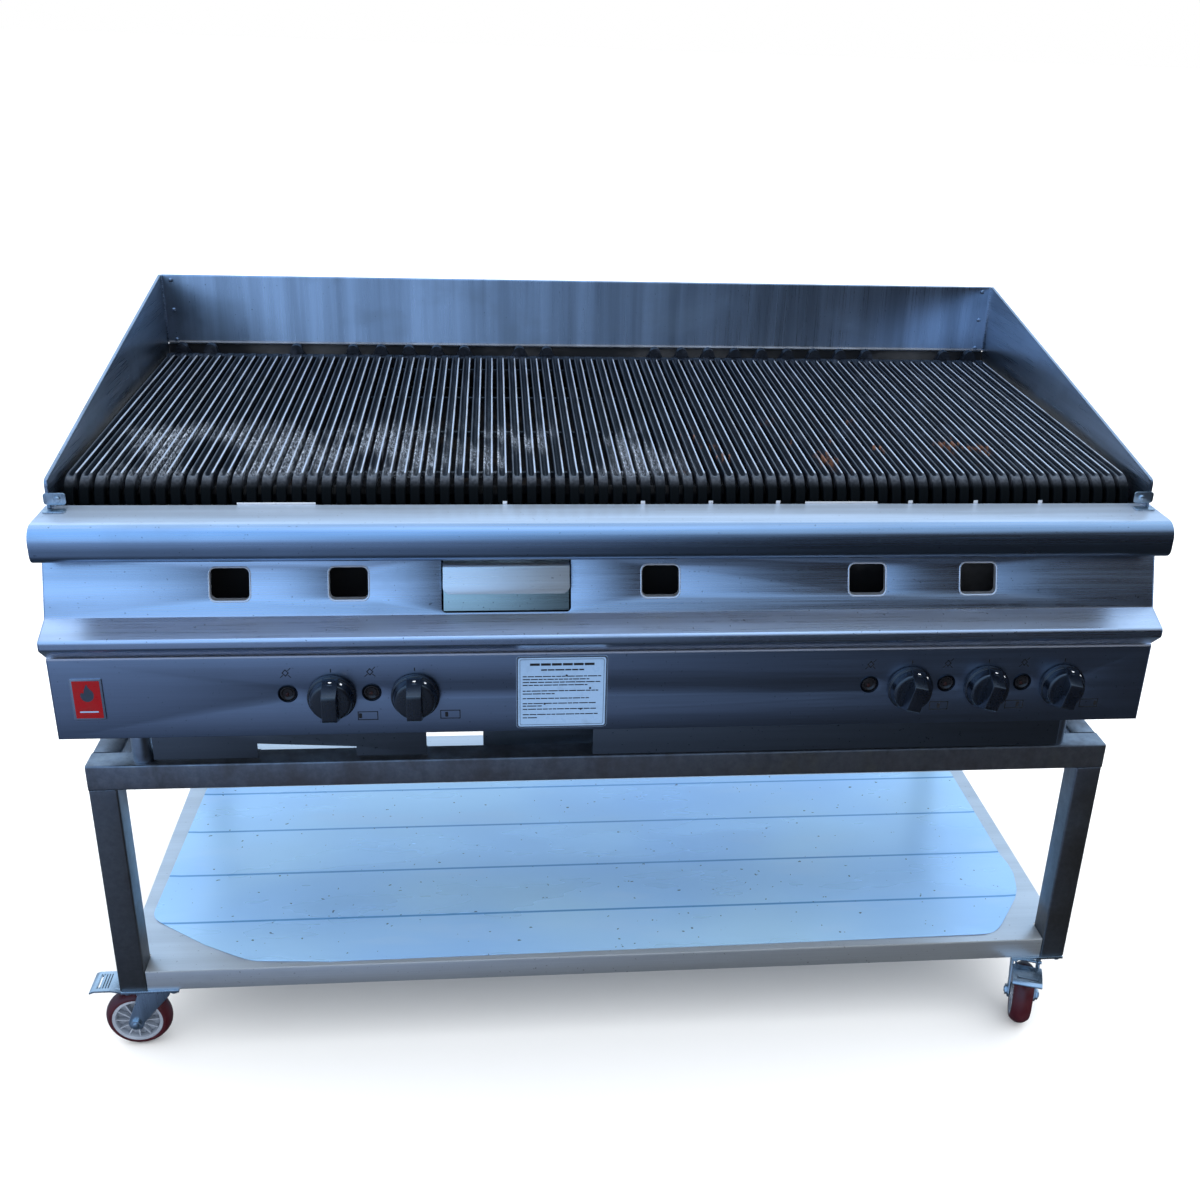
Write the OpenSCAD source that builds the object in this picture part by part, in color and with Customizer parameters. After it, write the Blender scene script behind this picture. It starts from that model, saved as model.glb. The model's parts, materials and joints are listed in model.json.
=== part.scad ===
// Five-burner gas charbroiler on a mobile box-tube stand.
// Millimetres. Origin: middle of the footprint, on the floor. +X is to the user's right,
// +Y points from the user to the back, +Z is up.
// Most parts of the grill unit are drawn in the "nose frame": y = 0 at the front of the
// nose rail and z = 0 at its top, which is the hob level.

/* [Grill unit] */
// Overall width across the nose rail
unit_w = 1500; // [1460:10:1560]
// Height of the nose top above the floor
hob_z = 890; // [870:5:930]
// Top of the splashback above the hob
splash_top = 172; // [140:2:200]
// Height of the side guards at their front edge
guard_front = 40; // [30:1:60]
// Sheet thickness of the cladding
sheet_t = 1.5; // [1:0.1:2]

/* [Grates] */
// Width of one grate, gap included
grate_pitch = 97.3; // [95:0.1:97.5]
// Sideways shift of the whole row of loose grates
grate_shift = -3; // [-3:0.5:3]
// Height of the grate tops above the hob at the front
grate_front_top = 32; // [30:1:34]
// Height of the grate tops above the hob at the back
grate_back_top = 46; // [44:1:48]
// Depth of one grate bar
bar_h = 22; // [20:1:24]
// Width of one grate bar
bar_w = 13; // [11:0.5:14]

/* [Controls] */
// Diameter of a control knob
knob_d = 65; // [58:1:70]
// Distance between neighbouring knobs
knob_pitch = 110.5; // [105:0.5:115]
// First knob of the left pair
left_knob_x = -389; // [-400:1:-380]
// First knob of the right group of three
right_knob_x = 406; // [395:1:415]
// Igniter button, measured from its knob
igniter_dx = -58; // [-62:1:-54]
// Travel of an igniter button
igniter_travel = 4; // [3:0.5:5]

/* [Drip drawer] */
// Middle of the drawer
drawer_x = -155; // [-158:1:-152]
// Width of the drawer opening
drawer_w = 172; // [165:1:175]

/* [Stand] */
// Side of the square tube
tube = 40; // [35:1:45]
// Wall of the square tube
tube_wall = 2; // [1.5:0.5:3]
// Height of the stand top above the floor
stand_top = 520; // [515:1:525]
// Height of the leg bottoms above the floor
leg_bottom = 128; // [124:1:132]
// Height of the shelf above the floor
shelf_z = 163; // [158:1:170]

/* [Casters] */
// Wheel diameter
wheel_d = 100; // [96:1:100]
// Tyre width
tyre_w = 32; // [28:1:32]
// Distance from swivel axis to wheel axle
trail = 33; // [30:1:36]

/* [Hidden] */
$fn = 48;
knob_out = 42;
unit_back = 779;
y_nose = -(unit_back - knob_out) / 2;
half_w = unit_w / 2;
fit_gap = 0.3;
// gap left at a joint between two plates of one sub-part, so that each stays a plain solid
seam = 0.05;

// nose rail and fascia, as (y, z) outlines in the nose frame
nose_back = 89;
nose_r = 22;
nose_low_r = 14;
nose_h = 50;
fascia_top = [45, -51];
fascia_foot = [17, -130];
ledge_y = -21;
panel_top = -180;
panel_foot = -300;
lean = (fascia_top[0] - fascia_foot[0]) / (fascia_top[1] - fascia_foot[1]);

// lighting holes
light_hole_x = [-515, -362, 52, 338, 495];
light_hole_w = 51;
light_hole_h = 41;
light_hole_z = -90;

// side guards and splashback
guard_out = half_w - 11;
guard_in = guard_out - sheet_t;
guard_front_y = 70;
splash_y = 774;
splash_foot = 54;

// grates
grate_n = 15;
bars_per_grate = 5;
grate_y0 = 92;
grate_y1 = 745;
grate_len = grate_y1 - grate_y0;
grate_gap = 0.8;
grate_slope = atan((grate_back_top - grate_front_top) / grate_len);
bar_pitch = (grate_pitch - grate_gap) / bars_per_grate;
lip = 3;
trough = 12;
bend_r = 34;
bend_drop = 42;
grate_lugs = [[-1, 1], [], [-1], [-1, 1], [-1, 1], [-1], [-1, 1], [], [1],
              [-1, 1], [-1, 1], [-1, 1], [-1, 1], [], [-1, 1]];

// front support rail: two upright tabs and a row of pegs, some of them missing
tab_x = [-457, 307];
tab_w = 102;
peg_x0 = -156;
peg_pitch = 93.5;
peg_places = [0, 2, 3, 4, 6, 7, 8];

// controls
knob_x = concat([for (i = [0:1]) left_knob_x + i * knob_pitch],
                [for (i = [0:2]) right_knob_x + i * knob_pitch]);
knob_z = -241;
knob_turn = [0, 0, 14, 14, 14];
grip_w = 22;
grip_side = [[-31, 4], [31, 4], [30, 10], [18.5, knob_out - 3.5], [15.5, knob_out - 1],
             [-15.5, knob_out - 1], [-18.5, knob_out - 3.5], [-30, 10]];
igniter_z = -236;
spindle_r = 5;
run_gap = 0.05;
button_r = 10.5;
button_len = 14;
bezel_r = 13;
housing_len = 30;
label_at = [-81, -240];
label_size = [124, 110];
badge_at = [-704.5, -239.5];
badge_size = [41, 61];

// firebox
firebox_x = 732;
firebox_front = 100;
firebox_back = 744;
firebox_top = -16;
firebox_foot = -150;
module_w = unit_w / 5;
burner_z = -112;
burner_r = 16;
radiant_low = -58;
radiant_top = -34;
inlet_x = 600;
inlet_z = -250;
inlet_r = 13.22;
inlet_y = 756;
main_y = 62;
main_r = 13.5;
rear_y = 750;

// drip drawer
drawer_top = -62;
drawer_foot = -126;
drawer_half = drawer_w / 2 - 2.5;
drawer_back = 560;
drawer_t = 1.2;
handle_out = 15;
handle_h = 36;
tray_h = 40;
slot_top = -53;
slot_foot = -128;

// unit base
rail_y = 50;
base_rails = [[-645, -269, 7], [-33, 640, 1]];
// the left rail is cut away along part of its foot, the right one runs on past the leveling foot
rail_gap = [[-503, 29.5], [-367, 22]];
rail_tail = 661;
sump_x = [-190, -24];
sump_y = [95, 520];
sump_foot = panel_foot - 84;
foot_x = 663;
foot_r = 15;

// stand, in the row frame from here on
stand_x = 739;
stand_y0 = y_nose + 47;
stand_y1 = y_nose + 740;
leg_x = stand_x - tube / 2;
leg_ys = [stand_y0 + tube / 2, stand_y1 - tube / 2];
shelf_x = 736;
notch = tube + 1;

// casters: position of the swivel axis and direction of the trailing wheel
plate_w = 85;
plate_t = 4;
plate_foot = leg_bottom - plate_t;
nut_pitch = 68;
caster_x = 694.5;
casters = [[-caster_x, stand_y0 + 39.5, 180], [caster_x, stand_y0 + 39.5, 250],
           [-caster_x, stand_y1 - 39.5, 150], [caster_x, stand_y1 - 39.5, 8]];
axle_z = wheel_d / 2;
axle_r = 5;
fork_in = 19;
fork_t = 3;
kingpin_r = 6;
bolt_out = 6;
bolt_head_r = 8.5;
crown_z = plate_foot - 11.5;
crown_t = 3;
crown_r = 31;
kingpin_foot = plate_foot - 20;
pedal_pivot = [24, crown_z - 5];
pedal_end = 96;
pedal_w = 46;
pedal_slot = 28;

// ---- helpers -----------------------------------------------------------------------

function arc(c, r, a0, a1, n = 8) =
    [for (i = [0:n]) let (a = a0 + (a1 - a0) * i / n) c + r * [cos(a), sin(a)]];
function unit(v) = v / norm(v);
function left_of(a, b) = let (d = unit(b - a)) [-d[1], d[0]];
function moved_point(p, i, t) =
    let (n = len(p),
         before = i == 0 ? left_of(p[0], p[1]) : left_of(p[i - 1], p[i]),
         after = i == n - 1 ? left_of(p[n - 2], p[n - 1]) : left_of(p[i], p[i + 1]),
         m = unit(before + after))
    p[i] + m * t / (m * before);
// outline of a bent sheet: the path, and back again one thickness to its left
function sheet(p, t = sheet_t) =
    concat(p, [for (i = [len(p) - 1:-1:0]) moved_point(p, i, t)]);
function fascia_y(z) = fascia_top[0] + (z - fascia_top[1]) * lean;

module nose_frame() translate([0, y_nose, hob_z]) children();

// extrudes a (y, z) outline along X
module along_x(w) rotate([90, 0, 90]) linear_extrude(w, center = true) children();

// extrudes an (x, z) outline along Y, from y0 to y1
module along_y(y0, y1)
    translate([0, y1, 0]) rotate([90, 0, 0]) linear_extrude(y1 - y0) children();

module round_rect(w, h, r) {
    square([w - 2 * r, h], center = true);
    square([w, h - 2 * r], center = true);
    for (x = [-1, 1], y = [-1, 1])
        translate([x * (w / 2 - r), y * (h / 2 - r)]) circle(r);
}

module block(x, y, z)
    translate([x[0], y[0], z[0]]) cube([x[1] - x[0], y[1] - y[0], z[1] - z[0]]);

// cylinder along Y from y0 to y1
module rod_y(x, z, r, y0, y1)
    translate([x, y1, z]) rotate([90, 0, 0]) cylinder(r = r, h = y1 - y0);

// bent sheet across the unit with flat plates closing its two ends
module capped_sheet(p, w) {
    along_x(w) polygon(sheet(p));
    for (s = [-1, 1])
        translate([s * (w - sheet_t) / 2, 0, 0]) along_x(sheet_t) polygon(p);
}

// ---- cladding ----------------------------------------------------------------------

nose_path = concat([[nose_back, -14], [nose_back, 0]],
                   arc([nose_r, -nose_r], nose_r, 90, 180, 12),
                   arc([nose_low_r, nose_low_r - nose_h], nose_low_r, 180, 270, 8),
                   [[fascia_top[0], -nose_h]]);

fascia_path = concat([fascia_top, fascia_foot],
                     arc([ledge_y + 6, -150.5], 6, 110, 180, 6),
                     arc([ledge_y + 6, -156], 6, 180, 225, 4),
                     [[2, panel_top + 1]]);

panel_path = [[6, panel_top], [0, panel_top], [0, panel_foot], [18, panel_foot]];

splash_path = [[unit_back - sheet_t, splash_top - 15], [unit_back - sheet_t, splash_top - sheet_t],
               [splash_y + sheet_t, splash_top - sheet_t], [splash_y + sheet_t, splash_foot + sheet_t],
               [splash_y - 5, splash_foot + sheet_t]];

rear_path = [[unit_back, 52], [unit_back, -20], [rear_y, -49], [rear_y, panel_foot]];

module front_nose() color("lightsteelblue") nose_frame() capped_sheet(nose_path, unit_w);

module fascia() color("slategray") nose_frame() difference() {
    capped_sheet(fascia_path, unit_w);
    for (x = light_hole_x)
        translate([x, 0, light_hole_z])
            along_y(fascia_foot[0] - 5, fascia_top[0] + 20)
                round_rect(light_hole_w, light_hole_h, 7);
    translate([drawer_x, 0, (slot_top + slot_foot) / 2])
        along_y(fascia_foot[0] - 5, fascia_top[0] + 20)
            round_rect(drawer_w, slot_top - slot_foot, 6);
}

module control_panel() color("dimgray") nose_frame() difference() {
    capped_sheet(panel_path, unit_w);
    for (x = knob_x) {
        rod_y(x, knob_z, spindle_r + 2, -5, 10);
        rod_y(x + igniter_dx, igniter_z, bezel_r - 1, -5, 10);
    }
}

module splashback() color("lightsteelblue") nose_frame()
    along_x(2 * (guard_in - 0.2)) polygon(sheet(splash_path, -sheet_t));

// s = -1 left, 1 right
module side_guard(s) color("lightsteelblue") nose_frame() {
    skin = [[guard_front_y, fit_gap], [guard_front_y, guard_front], [unit_back - 3, splash_top],
            [unit_back - 3, -15], [nose_back + 2, -15], [nose_back + 2, fit_gap]];
    hem = [[guard_front_y, fit_gap], [guard_front_y, guard_front], [unit_back - 3, splash_top]];
    translate([s * (guard_out - sheet_t / 2), 0, 0]) along_x(sheet_t) polygon(skin);
    translate([s * (guard_out + 1), 0, 0]) along_x(5) polygon(sheet(hem, -sheet_t));
    translate([s * (guard_out - 7.5), 0, 15]) along_y(guard_front_y - sheet_t, guard_front_y + 0.5)
        round_rect(28, 16, 4);
}

module body_casing() color("gray") nose_frame() {
    side_x = half_w - 2 * sheet_t - fit_gap;
    side = [[fascia_top[0] + 2, -52], [fascia_foot[0] + 4, -131], [8, -158], [8, panel_top - 4],
            [3, panel_top - 4], [3, panel_foot + 3], [rear_y - 1, panel_foot + 3],
            [rear_y - 1, -49], [unit_back - 5, -22], [unit_back - 5, -3], [nose_back + 1, -3],
            [nose_back + 1, -16], [nose_back - 14, -16]];
    for (s = [-1, 1])
        translate([s * side_x, 0, 0]) along_x(sheet_t) polygon(side);
    difference() {
        along_x(2 * (side_x - 1)) polygon(sheet(rear_path, -sheet_t));
        rod_y(inlet_x, inlet_z, inlet_r + 1, rear_y - 10, rear_y + 10);
    }
    // firebox walls
    for (s = [-1, 1])
        block([s * firebox_x - 0.75, s * firebox_x + 0.75], [firebox_front + 3, firebox_back - 3],
              [firebox_foot, firebox_top]);
    block([-firebox_x, drawer_x - drawer_w / 2 - 5], [firebox_front, firebox_front + sheet_t],
          [firebox_foot, firebox_top]);
    block([drawer_x + drawer_w / 2 + 5, firebox_x], [firebox_front, firebox_front + sheet_t],
          [firebox_foot, firebox_top]);
    block([-firebox_x, firebox_x], [firebox_back, firebox_back + sheet_t], [firebox_foot, firebox_top]);
    // drawer runners
    for (s = [-1, 1])
        block([drawer_x + s * (drawer_half - 6) - 8, drawer_x + s * (drawer_half - 6) + 8],
              [firebox_front + 4, drawer_back], [drawer_foot - 2.4, drawer_foot - 0.4]);
}

module base_tray() color("dimgray") nose_frame() {
    block([-half_w + 6, half_w - 6], [22, rear_y - 4], [panel_foot, panel_foot + sheet_t]);
    // open-topped sump under the tray
    difference() {
        block(sump_x, sump_y, [sump_foot, panel_foot - fit_gap]);
        block(sump_x + [sheet_t, -sheet_t], sump_y + [sheet_t, -sheet_t], [sump_foot + sheet_t, panel_foot]);
    }
    floor_z = stand_top - hob_z;
    difference() {
        for (r = base_rails) {
            path = [[rail_y + 22, panel_foot - 1], [rail_y, panel_foot - 1],
                    [rail_y, floor_z + r[2]], [rail_y + 22, floor_z + r[2]]];
            translate([(r[0] + r[1]) / 2, 0, 0]) along_x(r[1] - r[0]) polygon(sheet(path));
        }
        translate([0, 0, floor_z]) along_y(rail_y - 1, rail_y + 30)
            polygon(concat(rail_gap, [[rail_gap[1][0], 0], [rail_gap[0][0], 0]]));
    }
    block([base_rails[1][1] - 2, rail_tail], [rail_y, rail_y + sheet_t],
          [floor_z + base_rails[1][2], panel_foot - 1]);
    block([-600, 600], [704, 707], [floor_z + 4, panel_foot - 1]);
}

// ---- inside ------------------------------------------------------------------------

module burners() color("darkslategray") nose_frame()
    for (i = [-2:2]) translate([i * module_w, 0, burner_z]) {
        rod_y(0, 0, burner_r, 130, 690);
        block([-5, 5], [150, 680], [burner_r - 6, burner_r + 4]);
        rod_y(0, 0, burner_r + 6, 108, 130);
    }

module radiants() color("dimgray") nose_frame()
    for (i = [-2:2]) {
        w = module_w - 12;
        ridges = 4;
        zig = [for (k = [0:2 * ridges])
               [-w / 2 + k * w / (2 * ridges), k % 2 == 0 ? radiant_low : radiant_top]];
        translate([i * module_w * 0.96, 0, 0]) along_y(112, 740) polygon(sheet(zig, 3));
    }

module grate_rails() color("dimgray") nose_frame() {
    front_under = grate_front_top + tan(grate_slope) * 40 - bar_h;
    back_under = grate_back_top - tan(grate_slope) * 20 - bar_h;
    rail_x = firebox_x - 1.5;
    block([-rail_x, rail_x], [132, 136], [front_under - 30, front_under - 0.7]);
    block([-rail_x, rail_x], [718, 722], [back_under - 30, back_under - 0.7]);
    // upright tabs behind the nose and the short pegs beside them
    for (x = tab_x)
        block([x - tab_w / 2, x + tab_w / 2], [nose_back + 0.4, nose_back + 1.9], [-14, 2]);
    for (k = peg_places)
        translate([peg_x0 + k * peg_pitch, nose_back + 0.4, -10])
            along_x(6) polygon([[0, 0], [1.8, 0], [1.8, 12], [0, 14]]);
}

module gas_train() color("goldenrod") nose_frame() {
    x0 = knob_x[0] - 60;
    x1 = inlet_x + 90;
    translate([x0, main_y, knob_z]) rotate([0, 90, 0]) cylinder(r = main_r, h = x1 - x0);
    for (x = knob_x) {
        block([x - 13, x + 13], [24, main_y - main_r - seam], [knob_z - 16, knob_z + 16]);
        rod_y(x, knob_z, spindle_r, -24, 24 - seam);
    }
    rod_y(inlet_x, inlet_z, 11, main_y + main_r + seam, inlet_y - seam);
    rod_y(inlet_x, inlet_z, inlet_r, inlet_y, inlet_y + 20);
}

module igniter_housings() color("silver") nose_frame()
    for (x = knob_x) translate([x + igniter_dx, 0, igniter_z]) difference() {
        union() {
            rod_y(0, 0, bezel_r, -1.5, 0);
            rod_y(0, 0, bezel_r - 1.2, -1, housing_len);
        }
        rod_y(0, 0, button_r + 0.1, -2, button_len + igniter_travel + 2);
    }

module drip_drawer() color("lightsteelblue") nose_frame() translate([drawer_x, 0, 0]) {
    w = 2 * drawer_half;
    inside = w / 2 - drawer_t - seam;
    rim = drawer_foot + tray_h;
    face_back = 1 + drawer_t * sqrt(1 + lean * lean) + seam;
    floor_y = fascia_y(drawer_foot + drawer_t) + face_back;
    // sloping face, folded handle: a leaf forward and a flap down
    along_x(w) polygon(sheet([[fascia_y(drawer_top) + 1, drawer_top],
                              [fascia_y(drawer_foot) + 1, drawer_foot]], drawer_t));
    leaf_y = fascia_y(drawer_top) - handle_out;
    flap = [[leaf_y - seam, drawer_top], [leaf_y - seam - handle_h * lean, drawer_top - handle_h]];
    block([-w / 2 + 3, w / 2 - 3], [leaf_y, fascia_y(drawer_top - drawer_t) + 1 - seam],
          [drawer_top - drawer_t, drawer_top]);
    intersection() {
        along_x(w) polygon(sheet(flap, -drawer_t));
        translate([0, 0, drawer_top - handle_h / 2]) along_y(0, 60) round_rect(w, handle_h, 7);
    }
    // tray
    for (s = [-1, 1])
        translate([s * (w - drawer_t) / 2, 0, 0]) along_x(drawer_t)
            polygon([[fascia_y(rim) + face_back, rim], [fascia_y(drawer_foot) + face_back, drawer_foot],
                     [drawer_back, drawer_foot], [drawer_back, rim]]);
    block([-inside, inside], [floor_y, drawer_back - drawer_t - seam], [drawer_foot, drawer_foot + drawer_t]);
    block([-inside, inside], [drawer_back - drawer_t, drawer_back], [drawer_foot, rim]);
}

// ---- grates ------------------------------------------------------------------------

// side view of one bar, y from its front face, z from its top, front end bent down
function bar_outline(top, bottom, back, drop) =
    let (c = [bend_r, -bend_r])
    concat([[back, -top], [bend_r, -top]],
           arc(c, bend_r - top, 90, 180, 8),
           [[top, -drop], [bottom, -drop]],
           arc(c, bend_r - bottom, 180, 90, 5),
           [[back, -bottom]]);

module grate(k) color("darkslategray") nose_frame()
    translate([grate_shift + (k - grate_n / 2 + 0.5) * grate_pitch, grate_y0, grate_front_top])
    rotate([grate_slope, 0, 0]) {
        span = grate_pitch - grate_gap;
        for (b = [0:bars_per_grate - 1])
            translate([(b - (bars_per_grate - 1) / 2) * bar_pitch, 0, 0]) difference() {
                along_x(bar_w) polygon(bar_outline(0, bar_h, grate_len - 8, bend_drop));
                translate([0, 0, 0.01]) along_x(bar_w - 2 * lip)
                    polygon(concat([[grate_len - 20, 1], [bend_r, 1]],
                                   arc([bend_r, -bend_r], bend_r + 1, 90, 150, 6),
                                   arc([bend_r, -bend_r], bend_r - trough, 150, 90, 5),
                                   [[grate_len - 20, -trough]]));
            }
        // cross ribs tie the bars from below
        for (y = [70, 250, 430, 600])
            block([-span / 2, span / 2], [y, y + 8], [-bar_h + 0.5, -14]);
        block([-span / 2, span / 2], [grate_len - 16, grate_len], [-bar_h, -2]);
        for (s = grate_lugs[k])
            translate([s * grate_pitch / 4, 0, 0]) along_y(grate_len - 4, grate_len + 12) {
                translate([0, 4]) circle(10);
                polygon([[-16, -bar_h], [16, -bar_h], [16, -6], [10, 4], [-10, 4], [-16, -6]]);
            }
    }

// ---- controls ----------------------------------------------------------------------

module knob(i) color("darkslategray") nose_frame()
    translate([knob_x[i], -1, knob_z]) rotate([90, 0, 0]) rotate([0, 0, -knob_turn[i]])
        difference() {
            union() {
                cylinder(r = knob_d / 2, h = 7);
                cylinder(r1 = knob_d / 2 - 2, r2 = knob_d / 2 - 6, h = 20);
                along_x(grip_w) polygon(grip_side);
            }
            translate([0, 0, -1]) cylinder(r = spindle_r + run_gap, h = 25);
        }

module igniter_button(i) color("black") nose_frame()
    rod_y(knob_x[i] + igniter_dx, igniter_z, button_r, -0.5, button_len);

module label_plate() color("white") nose_frame() translate([label_at[0], 0, label_at[1]])
    along_y(-0.7, 0) round_rect(label_size[0], label_size[1], 5);

module badge_plate() color("firebrick") nose_frame() translate([badge_at[0], 0, badge_at[1]])
    along_y(-2, 0) round_rect(badge_size[0], badge_size[1], 2);

// ---- stand -------------------------------------------------------------------------

module square_tube(length) linear_extrude(length) difference() {
    square(tube, center = true);
    square(tube - 2 * tube_wall, center = true);
}

module stand_legs() color("slategray")
    for (x = [-leg_x, leg_x], y = leg_ys)
        translate([x, y, leg_bottom]) square_tube(stand_top - tube - leg_bottom);

module stand_cross_rails() color("slategray")
    for (y = leg_ys) translate([0, y, stand_top - tube / 2]) {
        translate([-stand_x, 0, 0]) rotate([0, 90, 0]) square_tube(2 * stand_x);
        plug = tube - 2 * tube_wall - 0.1;
        for (s = [-1, 1]) translate([s * (stand_x - 3), 0, 0]) cube([6, plug, plug], center = true);
    }

module stand_side_rails() color("slategray")
    for (x = [-leg_x, leg_x])
        translate([x, leg_ys[0] + tube / 2, stand_top - tube / 2]) rotate([-90, 0, 0])
            square_tube(leg_ys[1] - leg_ys[0] - tube);

module shelf() color("lightblue") {
    lip_foot = leg_bottom;
    t = sheet_t;
    difference() {
        block([-shelf_x, shelf_x], [stand_y0, stand_y1], [shelf_z - t, shelf_z]);
        for (x = [-1, 1], y = leg_ys)
            translate([x * leg_x, y, shelf_z]) cube([notch, notch, 10], center = true);
    }
    inner = leg_x - notch / 2;
    for (y = [stand_y0, stand_y1 - t]) block([-inner, inner], [y, y + t], [lip_foot, shelf_z]);
    for (s = [-1, 1])
        block([s * (shelf_x - t / 2) - t / 2, s * (shelf_x - t / 2) + t / 2],
              [leg_ys[0] + notch / 2, leg_ys[1] - notch / 2], [lip_foot, shelf_z]);
}

module unit_feet() color("silver")
    for (x = [-foot_x, foot_x], y = leg_ys) {
        translate([x, y, stand_top]) cylinder(r = foot_r, h = 44);
        translate([x, y, stand_top + 40]) cylinder(r = 9, h = hob_z + panel_foot - stand_top - 40);
    }

module fasteners() color("silver") {
    // screws under the ends of the nose
    for (s = [-1, 1]) nose_frame() translate([s * 730, 36, -nose_h - 4]) cylinder(r = 4, h = 4);
    // nuts under the caster plates
    for (c = casters, x = [-1, 1], y = [-1, 1])
        translate([c[0] + x * nut_pitch / 2, c[1] + y * nut_pitch / 2, plate_foot - 4])
            cylinder(r = 6, h = 4);
    // screws of the rear panel
    for (x = [-720, -360, 0, 360, 720], z = [-80, -280])
        nose_frame() rod_y(x, z, 4, rear_y, rear_y + 2.5);
}

// ---- casters -----------------------------------------------------------------------

module at_caster(i) translate([casters[i][0], casters[i][1], 0]) rotate([0, 0, casters[i][2]]) children();

module caster_plates() color("silver")
    for (c = casters) translate([c[0], c[1], 0]) {
        translate([-plate_w / 2, -plate_w / 2, plate_foot]) cube([plate_w, plate_w, plate_t]);
        // upper race, kingpin and its head
        translate([0, 0, plate_foot - 4.5]) cylinder(r = crown_r, h = 5);
        translate([0, 0, kingpin_foot]) cylinder(r = kingpin_r, h = 18);
        translate([0, 0, kingpin_foot]) cylinder(r = 10, h = 8);
    }

module fork_side() {
    // (x, z) outline of one fork leg
    polygon([[-24, crown_z + crown_t], [26, crown_z + crown_t], [26, crown_z - 8],
             [trail + 12, axle_z], [trail - 12, axle_z], [-24, crown_z - 8]]);
    translate([trail, axle_z]) circle(12);
}

module caster_fork(i) color("silver") at_caster(i) {
    difference() {
        union() {
            for (s = [-1, 1])
                translate([0, s * (fork_in + fork_t / 2), 0]) along_y(-fork_t / 2, fork_t / 2) fork_side();
            translate([-24, -fork_in - fork_t, crown_z]) cube([50, 2 * (fork_in + fork_t), crown_t]);
            translate([0, 0, crown_z]) cylinder(r = crown_r, h = 2 * crown_t);
        }
        translate([0, 0, crown_z - 5]) cylinder(r = kingpin_r + run_gap, h = 20);
        rod_y(trail, axle_z, axle_r + 0.1, -40, 40);
        rod_y(pedal_pivot[0], pedal_pivot[1], 2.6, -40, 40);
    }
    // axle bolt with its head and nut
    outer = fork_in + fork_t;
    rod_y(trail, axle_z, axle_r, -outer - bolt_out, outer + bolt_out);
    for (y = [-outer - 5.2, outer + 0.2]) rod_y(trail, axle_z, bolt_head_r, y, y + 5);
}

module caster_wheel(i) color("firebrick") at_caster(i) translate([trail, 0, axle_z]) rotate([90, 0, 0]) {
    rim = wheel_d / 2 - 12;
    crown = wheel_d / 2;
    half = tyre_w / 2;
    // tyre
    rotate_extrude($fn = 96) polygon(concat(
        [[rim + 0.05, -half], [crown - 10, -half]],
        [for (k = [-4:4]) [crown - 7 * pow(abs(k) / 4, 2), k * (half - 1.5) / 4]],
        [[crown - 10, half], [rim + 0.05, half]]));
    // hub with a web and a boss around the axle
    difference() {
        rotate_extrude($fn = 96) polygon([[0, -half - 2], [12, -half - 2], [12, -5], [rim - 6, -5],
            [rim - 6, -half + 1], [rim, -half + 1], [rim, half - 1], [rim - 6, half - 1],
            [rim - 6, 5], [12, 5], [12, half + 2], [0, half + 2]]);
        translate([0, 0, -40]) cylinder(r = axle_r + run_gap, h = 80);
    }
}

module brake_pedal(i) color("lightgray") at_caster(i) {
    x = pedal_pivot[0];
    z = pedal_pivot[1];
    arm = fork_in - 1;
    // pivot pin, side arms, tread plate
    rod_y(x, z, 2.5, -fork_in - fork_t - 2, fork_in + fork_t + 2);
    for (s = [-1, 1])
        translate([0, s * (arm - 1.5), 0]) along_y(-1.2, 1.2)
            polygon([[x - 4, z - 3], [x - 4, z + 3], [x + 16, z + 3.5], [x + 34, z + 7.5],
                     [x + 34, z + 2.5], [x + 16, z - 3]]);
    difference() {
        along_y(-pedal_w / 2, pedal_w / 2)
            polygon([[x + 20, z + 4], [x + 40, z + 8.5], [pedal_end - 6, z + 8.5], [pedal_end, z + 5.5],
                     [pedal_end, z + 2.5], [pedal_end - 7, z + 5.5], [x + 40, z + 5.5], [x + 20, z + 1]]);
        translate([pedal_end - 16, -pedal_slot / 2, z]) cube([5, pedal_slot, 30]);
    }
}

front_nose();
fascia();
control_panel();
splashback();
side_guard(-1);  // side_guard_left
side_guard(1);  // side_guard_right
body_casing();
base_tray();
burners();
radiants();
grate_rails();
gas_train();
igniter_housings();
drip_drawer();
label_plate();
badge_plate();
unit_feet();
fasteners();
grate(0);  // grate_01
grate(1);  // grate_02
grate(2);  // grate_03
grate(3);  // grate_04
grate(4);  // grate_05
grate(5);  // grate_06
grate(6);  // grate_07
grate(7);  // grate_08
grate(8);  // grate_09
grate(9);  // grate_10
grate(10);  // grate_11
grate(11);  // grate_12
grate(12);  // grate_13
grate(13);  // grate_14
grate(14);  // grate_15
knob(0);  // knob_1
knob(1);  // knob_2
knob(2);  // knob_3
knob(3);  // knob_4
knob(4);  // knob_5
igniter_button(0);  // igniter_button_1
igniter_button(1);  // igniter_button_2
igniter_button(2);  // igniter_button_3
igniter_button(3);  // igniter_button_4
igniter_button(4);  // igniter_button_5
stand_legs();
stand_cross_rails();
stand_side_rails();
shelf();
caster_plates();
caster_fork(0);  // caster_fork_front_left
caster_fork(1);  // caster_fork_front_right
caster_fork(2);  // caster_fork_rear_left
caster_fork(3);  // caster_fork_rear_right
caster_wheel(0);  // caster_wheel_front_left
caster_wheel(1);  // caster_wheel_front_right
caster_wheel(2);  // caster_wheel_rear_left
caster_wheel(3);  // caster_wheel_rear_right
brake_pedal(0);  // brake_pedal_front_left
brake_pedal(1);  // brake_pedal_front_right
brake_pedal(2);  // brake_pedal_rear_left
brake_pedal(3);  // brake_pedal_rear_right
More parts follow.
